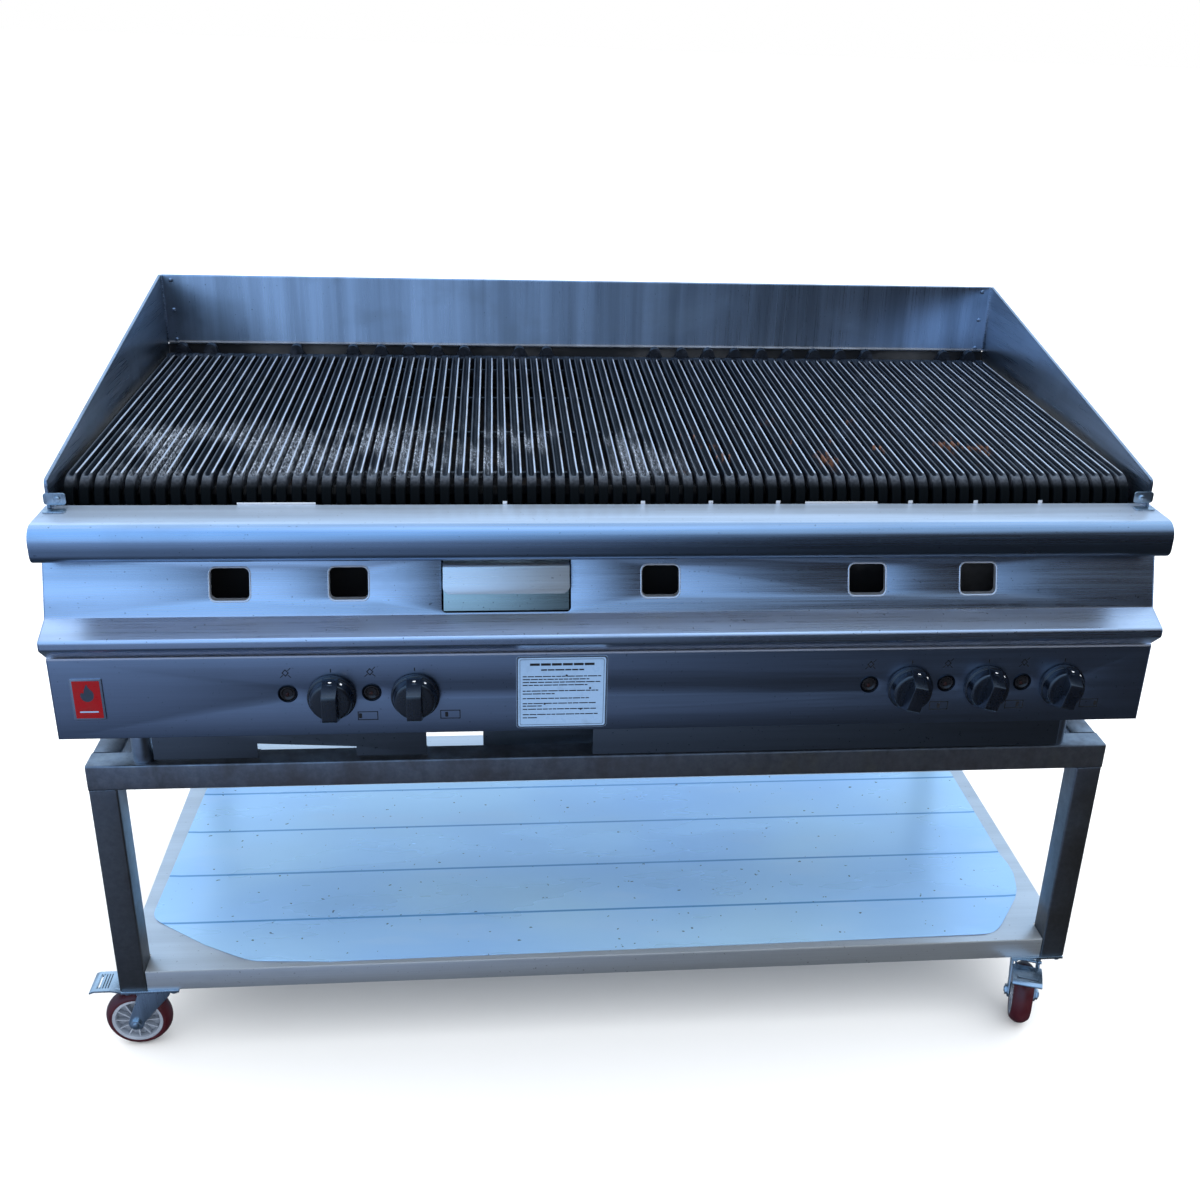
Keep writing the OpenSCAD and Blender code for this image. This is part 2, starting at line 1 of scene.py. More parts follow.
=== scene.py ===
"""Looks of a five-burner charbroiler on a mobile stand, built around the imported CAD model.

Lengths are in millimetres until a point is placed. at() places points of the grill unit, whose
frame has y = 0 at the front of the nose rail and z = 0 at its top; on_floor() places points of
the stand, in the row frame.
"""
import json
import math
import random

import bmesh
import bpy
from mathutils import Matrix, Vector

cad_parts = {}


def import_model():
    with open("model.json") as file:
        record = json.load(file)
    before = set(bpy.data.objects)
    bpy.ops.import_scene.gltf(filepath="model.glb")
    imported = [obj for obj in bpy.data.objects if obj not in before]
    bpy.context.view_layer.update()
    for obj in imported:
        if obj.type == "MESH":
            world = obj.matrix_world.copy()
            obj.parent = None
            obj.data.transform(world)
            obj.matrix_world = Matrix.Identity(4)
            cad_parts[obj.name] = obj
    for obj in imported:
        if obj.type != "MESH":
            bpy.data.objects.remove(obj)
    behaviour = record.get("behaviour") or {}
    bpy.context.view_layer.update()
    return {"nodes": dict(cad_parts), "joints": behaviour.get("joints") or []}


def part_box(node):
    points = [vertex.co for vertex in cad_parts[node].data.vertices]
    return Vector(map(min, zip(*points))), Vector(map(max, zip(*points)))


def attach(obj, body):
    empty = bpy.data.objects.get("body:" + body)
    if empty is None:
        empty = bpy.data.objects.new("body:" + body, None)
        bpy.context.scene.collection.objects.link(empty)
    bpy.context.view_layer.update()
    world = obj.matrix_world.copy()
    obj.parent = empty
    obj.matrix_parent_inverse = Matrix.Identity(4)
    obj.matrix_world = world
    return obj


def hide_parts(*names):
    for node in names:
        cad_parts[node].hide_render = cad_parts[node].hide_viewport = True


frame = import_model()

NOSE_LO, NOSE_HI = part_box("front_nose")
HALF = (NOSE_HI.x - NOSE_LO.x) * 500
KNOBS = 5
GRATES = 15


def middle(node):
    """Middle of a CAD piece, in millimetres: x in the row frame, z from the hob's top."""
    lo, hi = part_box(node)
    return (lo.x + hi.x) * 500, (lo.z + hi.z) * 500 - NOSE_HI.z * 1000


KNOB_X = [middle("knob_%d" % (i + 1))[0] for i in range(KNOBS)]
KNOB_Z = middle("knob_1")[1]
BUTTON_X = [middle("igniter_button_%d" % (i + 1))[0] for i in range(KNOBS)]
BUTTON_Z = middle("igniter_button_1")[1]
KNOB_TURN = [0, 0, 14, 14, 14]
CORNERS = ["front_left", "front_right", "rear_left", "rear_right"]
JOINTS = {j["name"]: j for j in frame["joints"]}


# ---- placing and outlines --------------------------------------------------------------

def at(x, y, z):
    return Vector((x / 1000, NOSE_LO.y + y / 1000, NOSE_HI.z + z / 1000))


def on_floor(x, y, z):
    return Vector((x / 1000, y / 1000, z / 1000))


def upward(x, y, z):
    """For a lathe whose axis stands up through a point."""
    return lambda a, b, h: (x + a, y + b, z + h)


def backward(x, y, z):
    """For a lathe whose axis runs from front to back through a point."""
    return lambda a, b, h: (x + a, y + h, z + b)


def sideways(x, y, z):
    """For a tube that runs from left to right through a point."""
    return lambda a, b, h: (x + h, y + a, z + b)


def turned(degrees, r=1.0):
    """A point that far round a circle about zero."""
    a = math.radians(degrees)
    return r * math.cos(a), r * math.sin(a)


def arc(cx, cy, r, a0, a1, n=8):
    steps = (turned(a0 + (a1 - a0) * i / n, r) for i in range(n + 1))
    return [(cx + u, cy + v) for u, v in steps]


def fillet(path, r, n=4, closed=False):
    """Rounds the corners of a path; an open path keeps its two ends."""
    out = []
    for i, p in enumerate(path):
        if not closed and i in (0, len(path) - 1):
            out.append(tuple(p))
            continue
        b = Vector(p)
        u = Vector(path[i - 1]) - b
        v = Vector(path[(i + 1) % len(path)]) - b
        if abs(u.normalized().dot(v.normalized()) + 1) < 0.03:
            out.append(tuple(p))
            continue
        cut = min(r, 0.45 * u.length, 0.45 * v.length)
        a, c = b + u.normalized() * cut, b + v.normalized() * cut
        for k in range(n + 1):
            t = k / n
            q = a * (1 - t) ** 2 + b * 2 * t * (1 - t) + c * t * t
            out.append(tuple(q))
    return out


def sheet(path, t):
    """Outline of a bent sheet: the path, and back one thickness to its left."""
    def left(a, b):
        d = (Vector(b) - Vector(a)).normalized()
        return Vector((-d.y, d.x))
    back = []
    for i, p in enumerate(path):
        before = left(path[max(i - 1, 0)], path[max(i, 1)])
        after = left(path[min(i, len(path) - 2)], path[min(i + 1, len(path) - 1)])
        m = (before + after).normalized()
        back.append(tuple(Vector(p) + m * t / m.dot(before)))
    return list(path) + back[::-1]


def round_rect(w, h, r, cx=0.0, cy=0.0, n=5):
    out = []
    for sx, sy, a in ((1, 1, 0), (-1, 1, 90), (-1, -1, 180), (1, -1, 270)):
        out += arc(cx + sx * (w / 2 - r), cy + sy * (h / 2 - r), r, a, a + 90, n)
    return out


# ---- meshes ----------------------------------------------------------------------------

def shown(name, data):
    """A new object, linked into the scene."""
    obj = bpy.data.objects.new(name, data)
    bpy.context.scene.collection.objects.link(obj)
    return obj


class Shape:
    """Gathers closed solids, given in millimetres, into one mesh of the row frame."""

    def __init__(self, place=at):
        self.bm = bmesh.new()
        self.place = place

    def rings(self, rings, cyclic=False, caps=True):
        """Joins rings of points with quads; caps closes the two ends."""
        made = [[self.bm.verts.new(self.place(*p)) for p in ring] for ring in rings]
        n = len(made[0])
        last = len(made) if cyclic else len(made) - 1
        for i in range(last):
            a, b = made[i], made[(i + 1) % len(made)]
            for k in range(n):
                self.bm.faces.new((a[k], a[(k + 1) % n], b[(k + 1) % n], b[k]))
        if caps and not cyclic:
            self.bm.faces.new(made[0][::-1])
            self.bm.faces.new(made[-1])
        return self

    def border(self, loops):
        """A closed tube whose section has one corner on each of the loops."""
        return self.rings([list(corner) for corner in zip(*loops)], cyclic=True)

    def prism(self, outline, axis, a, b):
        """Extrudes an outline along x (y, z), y (x, z) or z (x, y), from a to b."""
        order = {"x": lambda t, u, v: (t, u, v), "y": lambda t, u, v: (u, t, v),
                 "z": lambda t, u, v: (u, v, t)}[axis]
        return self.rings([[order(t, u, v) for u, v in outline] for t in (a, b)])

    def box(self, x, y, z):
        return self.prism([(x[0], y[0]), (x[1], y[0]), (x[1], y[1]), (x[0], y[1])], "z", *z)

    def lathe(self, profile, to, steps=48, closed=False):
        """Turns a (radius, height) profile; to(a, b, h) gives the point in millimetres."""
        turn = [2 * math.pi * k / steps for k in range(steps)]
        if closed:
            return self.rings([[to(r * math.cos(a), r * math.sin(a), h) for r, h in profile]
                               for a in turn], cyclic=True)
        return self.rings([[to(r * math.cos(a), r * math.sin(a), h) for a in turn]
                           for r, h in profile])

    def bevel(self, width, angle=32, segments=2):
        bmesh.ops.recalc_face_normals(self.bm, faces=self.bm.faces)
        sharp = [e for e in self.bm.edges if len(e.link_faces) == 2
                 and e.calc_face_angle(0) > math.radians(angle)]
        bmesh.ops.bevel(self.bm, geom=sharp, offset=width / 1000, segments=segments, profile=0.6,
                        affect="EDGES", clamp_overlap=True)
        return self

    def cut(self, other):
        """Takes another shape's volume out of this one."""
        pair = []
        for s in (self, other):
            bmesh.ops.recalc_face_normals(s.bm, faces=s.bm.faces)
            mesh = bpy.data.meshes.new("cut")
            s.bm.to_mesh(mesh)
            pair.append(shown("cut", mesh))
        mod = pair[0].modifiers.new("cut", "BOOLEAN")
        mod.object, mod.operation, mod.solver = pair[1], "DIFFERENCE", "EXACT"
        done = pair[0].evaluated_get(bpy.context.evaluated_depsgraph_get())
        self.bm = bmesh.new()
        self.bm.from_mesh(bpy.data.meshes.new_from_object(done))
        for o in pair:
            bpy.data.objects.remove(o)
        bmesh.ops.dissolve_limit(self.bm, angle_limit=math.radians(0.5), verts=self.bm.verts,
                                 edges=self.bm.edges)
        return self

    def add(self, other):
        """Takes in another shape's solids."""
        mesh = bpy.data.meshes.new("part")
        other.bm.to_mesh(mesh)
        self.bm.from_mesh(mesh)
        return self

    def piece(self, name, body, slot, material, *nodes, smooth=38):
        bmesh.ops.recalc_face_normals(self.bm, faces=self.bm.faces)
        mesh = bpy.data.meshes.new(name)
        self.bm.to_mesh(mesh)
        self.bm.free()
        mesh.shade_smooth()
        mesh.set_sharp_from_angle(angle=math.radians(smooth))
        mesh.materials.append(material)
        obj = shown(name, mesh)
        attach(obj, body)
        if nodes:
            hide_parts(*nodes)
        return obj


# ---- materials -------------------------------------------------------------------------

class Nodes:
    """Short ways to wire up a node tree around one texture coordinate."""

    def __init__(self, tree, coord):
        self.tree = tree
        self.coord = tree.nodes.new("ShaderNodeTexCoord").outputs[coord]

    def put(self, value, socket):
        if isinstance(value, bpy.types.NodeSocket):
            self.tree.links.new(value, socket)
        elif isinstance(value, tuple) and len(value) == 3 and socket.type == "RGBA":
            socket.default_value = (*value, 1)
        else:
            socket.default_value = value

    def node(self, kind, inputs=(), **settings):
        n = self.tree.nodes.new("ShaderNode" + kind)
        for key, value in settings.items():
            setattr(n, key, value)
        for key, value in dict(inputs).items():
            self.put(value, n.inputs[key])
        return n

    def noise(self, stretch, detail=3.0, rough=0.5, seed=0.0):
        """Noise with that many cells to the metre, the same each way or along x, y and z."""
        if not isinstance(stretch, tuple):
            stretch = (stretch,) * 3
        place = self.node("Mapping", {"Vector": self.coord, "Scale": stretch,
                                      "Location": (seed, seed * 1.7, seed * 0.6)})
        return self.node("TexNoise", {"Vector": place.outputs[0], "Scale": 1.0, "Detail": detail,
                                      "Roughness": rough}).outputs["Fac"]

    def span(self, value, lo, hi, out_lo=0.0, out_hi=1.0, kind="SMOOTHSTEP"):
        return self.node("MapRange", {"Value": value, "From Min": lo, "From Max": hi, "To Min": out_lo,
                                      "To Max": out_hi}, interpolation_type=kind).outputs[0]

    def calc(self, op, a, b=0.0):
        return self.node("Math", {0: a, 1: b}, operation=op).outputs[0]

    def times(self, a, b):
        return self.calc("MULTIPLY", a, b)

    def plus(self, a, b):
        return self.calc("ADD", a, b)

    def mix(self, factor, a, b):
        return self.node("Mix", {0: factor, 6: a, 7: b}, data_type="RGBA").outputs[2]

    def axis(self, name):
        return self.node("SeparateXYZ", {0: self.coord}).outputs[name]

    def window(self, name, lo, hi, soft):
        """1 between lo and hi along an axis, in metres, 0 outside, with soft edges."""
        v = self.axis(name)
        return self.times(self.span(v, lo - soft, lo + soft), self.span(v, hi - soft, hi + soft, 1.0, 0.0))


class Look(Nodes):
    """A Principled material; sockets are other values of its shader, by name."""

    def __init__(self, name, color, rough, metal=0.0, **sockets):
        self.mat = bpy.data.materials.new(name)
        self.mat.use_nodes = True
        super().__init__(self.mat.node_tree, "Object")
        self.bsdf = self.tree.nodes["Principled BSDF"]
        for key, value in {"Base Color": color, "Roughness": rough, "Metallic": metal, **sockets}.items():
            self.put(value, self.bsdf.inputs[key])

    def attribute(self, name):
        return self.node("Attribute", attribute_name=name).outputs["Fac"]

    def bump(self, height, depth, strength=1.0):
        n = self.node("Bump", {"Strength": strength, "Distance": depth, "Height": height})
        self.put(n.outputs[0], self.bsdf.inputs["Normal"])

    def done(self, color=None, rough=None, metal=None):
        for key, value in (("Base Color", color), ("Roughness", rough), ("Metallic", metal)):
            if value is not None:
                self.put(value, self.bsdf.inputs[key])
        return self.mat


def shade(color, k):
    return tuple(c * k for c in color)


def brushed(name, color, rough=0.28, along="x", streak=0.25, stain=0.3, seed=0.0, metal=1.0,
            soot=None, worn=None):
    """Used stainless sheet: fine brush lines, wide streaks, stains and small specks.

    soot(look) may return how black it is painted, for burnt metal and for painted shade, and worn(look) how
    dull it is rubbed, from 0 to 1.
    """
    look = Look(name, color, rough, metal)
    line = {"x": (5, 700, 700), "y": (700, 5, 700), "z": (700, 700, 5)}[along]
    band = {"x": (0.8, 26, 26), "y": (26, 0.8, 26), "z": (22, 22, 0.9)}[along]
    lines = look.noise(line, 2.0, 0.6, seed)
    bands = look.noise(band, 3.0, 0.55, seed + 3)
    cloud = look.noise((5, 5, 7), 5.0, 0.6, seed + 7)
    specks = look.noise(240, 1.0, 0.4, seed + 11)
    tone = look.plus(look.span(lines, 0.2, 0.8, -0.07, 0.07),
                     look.span(bands, 0.3, 0.7, -streak, streak * 0.6))
    dirt = look.span(cloud, 0.5, 0.72, 0.0, stain)
    light = look.mix(look.plus(0.5, tone), shade(color, 0.62), shade(color, 1.3))
    stained = look.mix(dirt, light, (color[0] * 0.62, color[1] * 0.58, color[2] * 0.52))
    spots = look.span(specks, 0.74, 0.78, 0.0, 0.35 + stain)
    final = look.mix(spots, stained, shade(color, 0.25))
    base_rough = look.plus(look.span(lines, 0.2, 0.8, rough - 0.05, rough + 0.07),
                           look.times(dirt, 0.35))
    # soot blackens burnt metal, and also paints shade black, as on the nose's lower curve
    if soot:
        burnt = look.times(soot(look), look.span(cloud, 0.25, 0.55, 0.8, 1.0))
        final = look.mix(burnt, final, (0.008, 0.009, 0.012))
        base_rough = look.calc("MAXIMUM", base_rough, look.times(burnt, 0.75))
        look.put(look.calc("SUBTRACT", 1.0, burnt), look.bsdf.inputs["Metallic"])
    if worn:
        dull = worn(look)
        look.put(look.calc("SUBTRACT", 1.0, dull), look.bsdf.inputs["Metallic"])
        base_rough = look.plus(base_rough, look.times(dull, 0.3))
    look.bump(look.plus(lines, look.times(cloud, 1.5)), 0.00006, 0.5)
    return look.done(final, base_rough)


def tube_steel():
    """Box tube with brush lines along it and straw and blue heat tints near the welded corners."""
    color = (0.30, 0.31, 0.33)
    look = Look("tube_steel", color, 0.36, metal=0.96)
    lines = look.noise(90, 5.0, 0.7)
    cloud = look.noise((14, 14, 11), 4.0, 0.6, 5.0)
    body = look.mix(look.span(lines, 0.3, 0.7), shade(color, 0.85), shade(color, 1.12))
    body = look.mix(look.span(look.axis("Z"), 0.47, 0.49, 0.6, 0.0), body, (0.09, 0.085, 0.078))
    near_top = look.span(look.axis("Z"), 0.40, 0.50)
    tint = look.times(near_top, look.span(cloud, 0.42, 0.72, 0.0, 0.6))
    heated = look.mix(tint, body, (0.17, 0.12, 0.085))
    blue = look.times(near_top, look.span(cloud, 0.36, 0.42))
    dirt = look.span(look.noise((30, 30, 8), 4.0, 0.6, 9.0), 0.55, 0.75, 0.0, 0.35)
    final = look.mix(dirt, look.mix(look.times(blue, 0.12), heated, (0.14, 0.19, 0.32)),
                     (0.10, 0.085, 0.07))
    look.bump(lines, 0.0002, 0.4)
    return look.done(final, look.span(cloud, 0.3, 0.7, 0.28, 0.5))


def grate_iron():
    """Cast iron: oily blue-black, worn bright on the crests, with ash and rust left between bars."""
    look = Look("grate_iron", (0.02, 0.025, 0.035), 0.42, metal=0.35)
    grain = look.noise(330, 4.0, 0.7)
    patch = look.noise((36, 13, 36), 5.0, 0.65, 3.0)
    body = look.mix(look.span(grain, 0.3, 0.75), (0.002, 0.003, 0.006), (0.012, 0.017, 0.028))
    body = look.mix(look.span(patch, 0.5, 0.72, 0.0, 0.6), body, (0.035, 0.045, 0.068))
    # the bend is scuffed grey and painted lighter on top, a painted highlight where it faces up; below it is
    # black, burnt grease and painted shade, with its specular level turned down
    bend = look.attribute("bend")
    spotty = look.span(look.noise(200, 3.0, 0.6, 41.0), 0.35, 0.65, 0.4, 1.0)
    scuffed_and_lit = look.times(look.span(bend, 0.0, 0.25), spotty)
    body = look.mix(scuffed_and_lit, body, (0.06, 0.07, 0.09))
    body = look.mix(look.span(bend, 0.3, 0.9), body, (0.002, 0.003, 0.004))
    look.put(look.span(bend, 0.3, 0.7, 0.4, 0.03), look.bsdf.inputs["Specular IOR Level"])
    wear = look.attribute("wear")
    rub = look.noise((60, 9, 60), 4.0, 0.6, 8.0)
    bright = look.times(look.span(wear, 0.25, 0.95), look.span(rub, 0.28, 0.55, 0.35, 1.0))
    body = look.mix(bright, body, (0.62, 0.69, 0.80))
    # ash lies on the left half, mostly a third of the way back
    where = look.times(look.window("X", -0.70, 0.08, 0.06), look.window("Y", -0.25, -0.03, 0.05))
    crumbs = look.noise((300, 130, 300), 5.0, 0.8, 12.0)
    heaps = look.span(look.noise((9, 5, 9), 2.0, 0.5, 21.0), 0.44, 0.56)
    where = look.times(where, look.span(bend, 0.1, 0.4, 1.0, 0.0))
    ash = look.times(look.times(where, heaps), look.span(crumbs, 0.48, 0.57))
    body = look.mix(look.times(ash, 0.9), body, (0.46, 0.53, 0.64))
    rust_at = look.times(look.window("X", 0.06, 0.62, 0.02), look.window("Y", -0.2, 0.0, 0.05))
    rusty = look.span(look.noise((16, 11, 16), 4.0, 0.6, 31.0), 0.60, 0.68)
    body = look.mix(look.times(rust_at, rusty), body, (0.20, 0.085, 0.04))
    rough = look.plus(look.span(grain, 0.3, 0.7, 0.34, 0.5), look.times(ash, 0.4))
    look.bump(look.plus(grain, look.times(patch, 0.8)), 0.0007, 0.7)
    return look.done(body, rough, look.times(bright, 0.7))


def black_iron(name, seed):
    """Sooty casting or scorched plate out of reach of the cloth."""
    look = Look(name, (0.03, 0.03, 0.034), 0.7, metal=0.2)
    grain = look.noise(160, 4.0, 0.7, seed)
    cloud = look.noise(12, 4.0, 0.6, seed + 2)
    body = look.mix(look.span(grain, 0.3, 0.7), (0.012, 0.012, 0.015), (0.06, 0.06, 0.068))
    body = look.mix(look.span(cloud, 0.52, 0.7, 0.0, 0.6), body, (0.12, 0.085, 0.06))
    look.bump(grain, 0.0008, 0.7)
    return look.done(body, look.span(cloud, 0.3, 0.7, 0.55, 0.85))


def plastic(name, color, rough, seed=0.0, grain=0.00004, **sockets):
    """Moulded plastic or rubber: slight unevenness, handling marks and dust."""
    look = Look(name, color, rough, **sockets)
    fine = look.noise(500, 3.0, 0.6, seed)
    marks = look.noise(28, 4.0, 0.6, seed + 4)
    body = look.mix(look.span(marks, 0.35, 0.7), shade(color, 0.82), shade(color, 1.18))
    look.bump(fine, grain, 0.5)
    return look.done(body, look.span(marks, 0.3, 0.7, rough * 0.8, rough * 1.3))


def film():
    """Protective film left on the shelf, with the sheet maker's thin guide lines."""
    look = Look("shelf_film", (0.36, 0.55, 0.91), 0.3, metal=0.25,
                **{"Coat Weight": 0.45, "Coat Roughness": 0.15})
    ripple = look.noise((4, 13, 8), 3.0, 0.5, 2.0)
    cloud = look.noise((2.0, 3.0, 2), 2.0, 0.5, 6.0)
    body = look.mix(look.span(cloud, 0.3, 0.7), (0.33, 0.60, 1.0), (0.43, 0.71, 1.0))
    body = look.mix(look.span(ripple, 0.56, 0.7, 0.0, 0.25), body, (0.50, 0.72, 1.0))
    y0 = NOSE_LO.y
    for y in (0.539, 0.416, 0.287, 0.161):
        line = look.window("Y", y0 + y - 0.0022, y0 + y + 0.0022, 0.0006)
        body = look.mix(look.times(line, 0.85), body, (0.05, 0.25, 0.58))
    specks = look.noise(130, 1.0, 0.3, 14.0)
    body = look.mix(look.span(specks, 0.765, 0.79, 0.0, 0.8), body, (0.03, 0.035, 0.05))
    look.bump(look.plus(ripple, look.times(cloud, 0.5)), 0.0012, 0.4)
    return look.done(body, look.span(ripple, 0.3, 0.7, 0.24, 0.38))


def enamel(name, color, seed):
    """Printed or enamelled plate with faint scuffs."""
    look = Look(name, color, 0.32, **{"Specular IOR Level": 0.25})
    scuff = look.noise(60, 5.0, 0.7, seed)
    body = look.mix(look.span(scuff, 0.5, 0.75, 0.0, 0.4), color, shade(color, 0.6))
    look.bump(scuff, 0.00008, 0.4)
    return look.done(body, look.span(scuff, 0.3, 0.7, 0.25, 0.42))


def brass():
    look = Look("brass", (0.72, 0.56, 0.30), 0.32, metal=1.0)
    dull = look.noise(45, 4.0, 0.6, 4.0)
    look.bump(dull, 0.0001, 0.4)
    return look.done(look.mix(look.span(dull, 0.4, 0.7), (0.72, 0.56, 0.30), (0.34, 0.24, 0.13)),
                     look.span(dull, 0.3, 0.7, 0.25, 0.5))


def fire_side(look):
    return look.attribute("soot")


def beside_the_fire(look):
    """Low on the rear half of the guards, where the flames lick them."""
    low = by_height(0.005, 0.05, 0.85, 0.0)
    return look.times(low(look), look.span(look.axis("Y"), -0.28, 0.1))


def bench_shelf(look):
    """The upper side of the ledge under the fascia, rubbed by trays."""
    return look.times(look.window("Z", NOSE_HI.z - 0.148, NOSE_HI.z - 0.129, 0.002), 0.08)


def by_height(lo, hi, at_lo, at_hi, zero=NOSE_HI.z):
    """A mask that goes from one value to another between two heights, in metres from zero."""
    return lambda look: look.span(look.axis("Z"), zero + lo, zero + hi, at_lo, at_hi)


# where pans slide over the nose, and painted shade that blackens the lower curve of the nose
rubbed_top = by_height(-0.0012, -0.0002, 0.0, 0.36)
shade_under_nose = by_height(-0.032, -0.021, 0.42, 0.0)
# the bright edge of the tabs behind the nose, and the pale line along the panel's upper edge
tab_edge = by_height(-0.002, 0.0, 0.0, 0.75)
panel_edge = by_height(-0.1835, -0.1815, 0.0, 0.25)
# grease baked on along the foot of the splashback
burnt_foot = by_height(0.0565, 0.06, 0.55, 0.0)
# the shelf, scuffed over a cleaner lip
scuffed_shelf = by_height(0.159, 0.1625, 0.13, 0.3, zero=0.0)

M = {
    "steel": brushed("steel", (0.60, 0.66, 0.76), 0.27, stain=0.28),
    "fascia": brushed("fascia_steel", (0.76, 0.83, 0.96), 0.27, stain=0.3, worn=bench_shelf),
    # rim_steel_lit is the steel painted lighter and less metallic, a painted highlight on rolled edges
    "rim": brushed("rim_steel_lit", (0.66, 0.73, 0.84), 0.366, stain=0.2, seed=12, metal=0.78),
    "nose": brushed("nose_steel", (0.56, 0.67, 0.82), 0.27, stain=0.2, seed=5, worn=rubbed_top,
                    soot=shade_under_nose),
    "splash": brushed("splash_steel", (0.60, 0.66, 0.76), 0.3, along="z", streak=0.42, stain=0.4, seed=20,
                      soot=burnt_foot),
    "guard": brushed("guard_steel", (0.50, 0.55, 0.63), 0.3, along="y", streak=0.3, stain=0.5, seed=30,
                     soot=beside_the_fire),
    "panel": brushed("panel_steel", (0.47, 0.52, 0.63), 0.34, streak=0.12, stain=0.12, seed=40,
                     worn=panel_edge),
    "casing": brushed("casing_steel", (0.42, 0.45, 0.50), 0.38, stain=0.35, seed=50, soot=fire_side),
    "rail": brushed("rail_steel", (0.62, 0.66, 0.72), 0.35, stain=0.3, seed=60, soot=fire_side,
                    worn=tab_edge),
    "foot": brushed("foot_steel", (0.55, 0.58, 0.63), 0.35, stain=0.3, seed=65),
    "zinc": brushed("zinc", (0.64, 0.71, 0.76), 0.3, along="z", streak=0.15, stain=0.25, seed=70),
    "shelf": brushed("shelf_steel", (0.62, 0.67, 0.72), 0.3, streak=0.12, stain=0.15, seed=80,
                     worn=scuffed_shelf),
    "drawer": brushed("drawer_steel", (0.78, 0.92, 0.86), 0.3, streak=0.15, stain=0.45, seed=90),
    # grip_steel_lit is the drawer's steel painted lighter and bluer than the face, a painted highlight on the
    # lip
    "grip": brushed("grip_steel_lit", (0.92, 0.97, 1.0), 0.301, streak=0.1, stain=0.2, seed=92, metal=0.93),
    "ring": brushed("button_ring", (0.60, 0.63, 0.68), 0.2, streak=0.1, stain=0.1, seed=95),
    "bezel": brushed("button_bezel", (0.035, 0.04, 0.05), 0.35, streak=0.1, stain=0.1, seed=97),
    "tube": tube_steel(),
    "grate": grate_iron(),
    "burner": black_iron("burner_iron", 1.0),
    "tray": brushed("base_steel", (0.27, 0.275, 0.29), 0.42, streak=0.15, stain=0.5, seed=9),
    "brass": brass(),
    "knob": plastic("knob_plastic", (0.0008, 0.0024, 0.007), 0.26, 3.0, **{"IOR": 1.8, "Coat Weight": 0.3}),
    "button": plastic("button_black", (0.006, 0.006, 0.008), 0.22, 5.0),
    "glow": plastic("button_core", (0.018, 0.004, 0.004), 0.35, 6.0),
    "tyre": plastic("tyre_red", (0.05, 0.003, 0.008), 0.42, 7.0, 0.0001),
    "hub": plastic("hub_grey", (0.24, 0.28, 0.35), 0.45, 8.0),
    "print": plastic("print_dark", (0.006, 0.007, 0.010), 0.6, 9.0),
    # white of the knobs' index spot, and of a smaller spot that is a painted glint
    "white": plastic("index_and_glint_white", (0.9, 0.92, 0.95), 0.35, 10.0),
    # the white label is painted a dull blue: painted shade and the bluish cast of the light on it
    "label": enamel("label_white", (0.165, 0.27, 0.44), 2.0),
    "badge": enamel("badge_red", (0.17, 0.0, 0.003), 4.0),
    "film": film(),
}


# ---- the room --------------------------------------------------------------------------

def camera():
    """Stands where the photograph was taken from."""
    yaw, pitch, roll = (math.radians(a) for a in (6.43, 23.98, 2.07))
    ahead = Vector((math.sin(yaw) * math.cos(pitch), math.cos(yaw) * math.cos(pitch), -math.sin(pitch)))
    right = Vector((math.cos(yaw), -math.sin(yaw), 0))
    up = right.cross(ahead)
    r = math.cos(roll) * right + math.sin(roll) * up
    u = -math.sin(roll) * right + math.cos(roll) * up
    data = bpy.data.cameras.new("camera")
    data.lens, data.sensor_width = 39.79, 36
    data.shift_x, data.shift_y = -0.0294, 0.0027
    data.clip_end = 200
    cam = shown("camera", data)
    cam.matrix_world = Matrix((r, u, -ahead)).transposed().to_4x4()
    cam.location = (-0.1654, -1.9721, 1.4992)
    bpy.context.scene.camera = cam


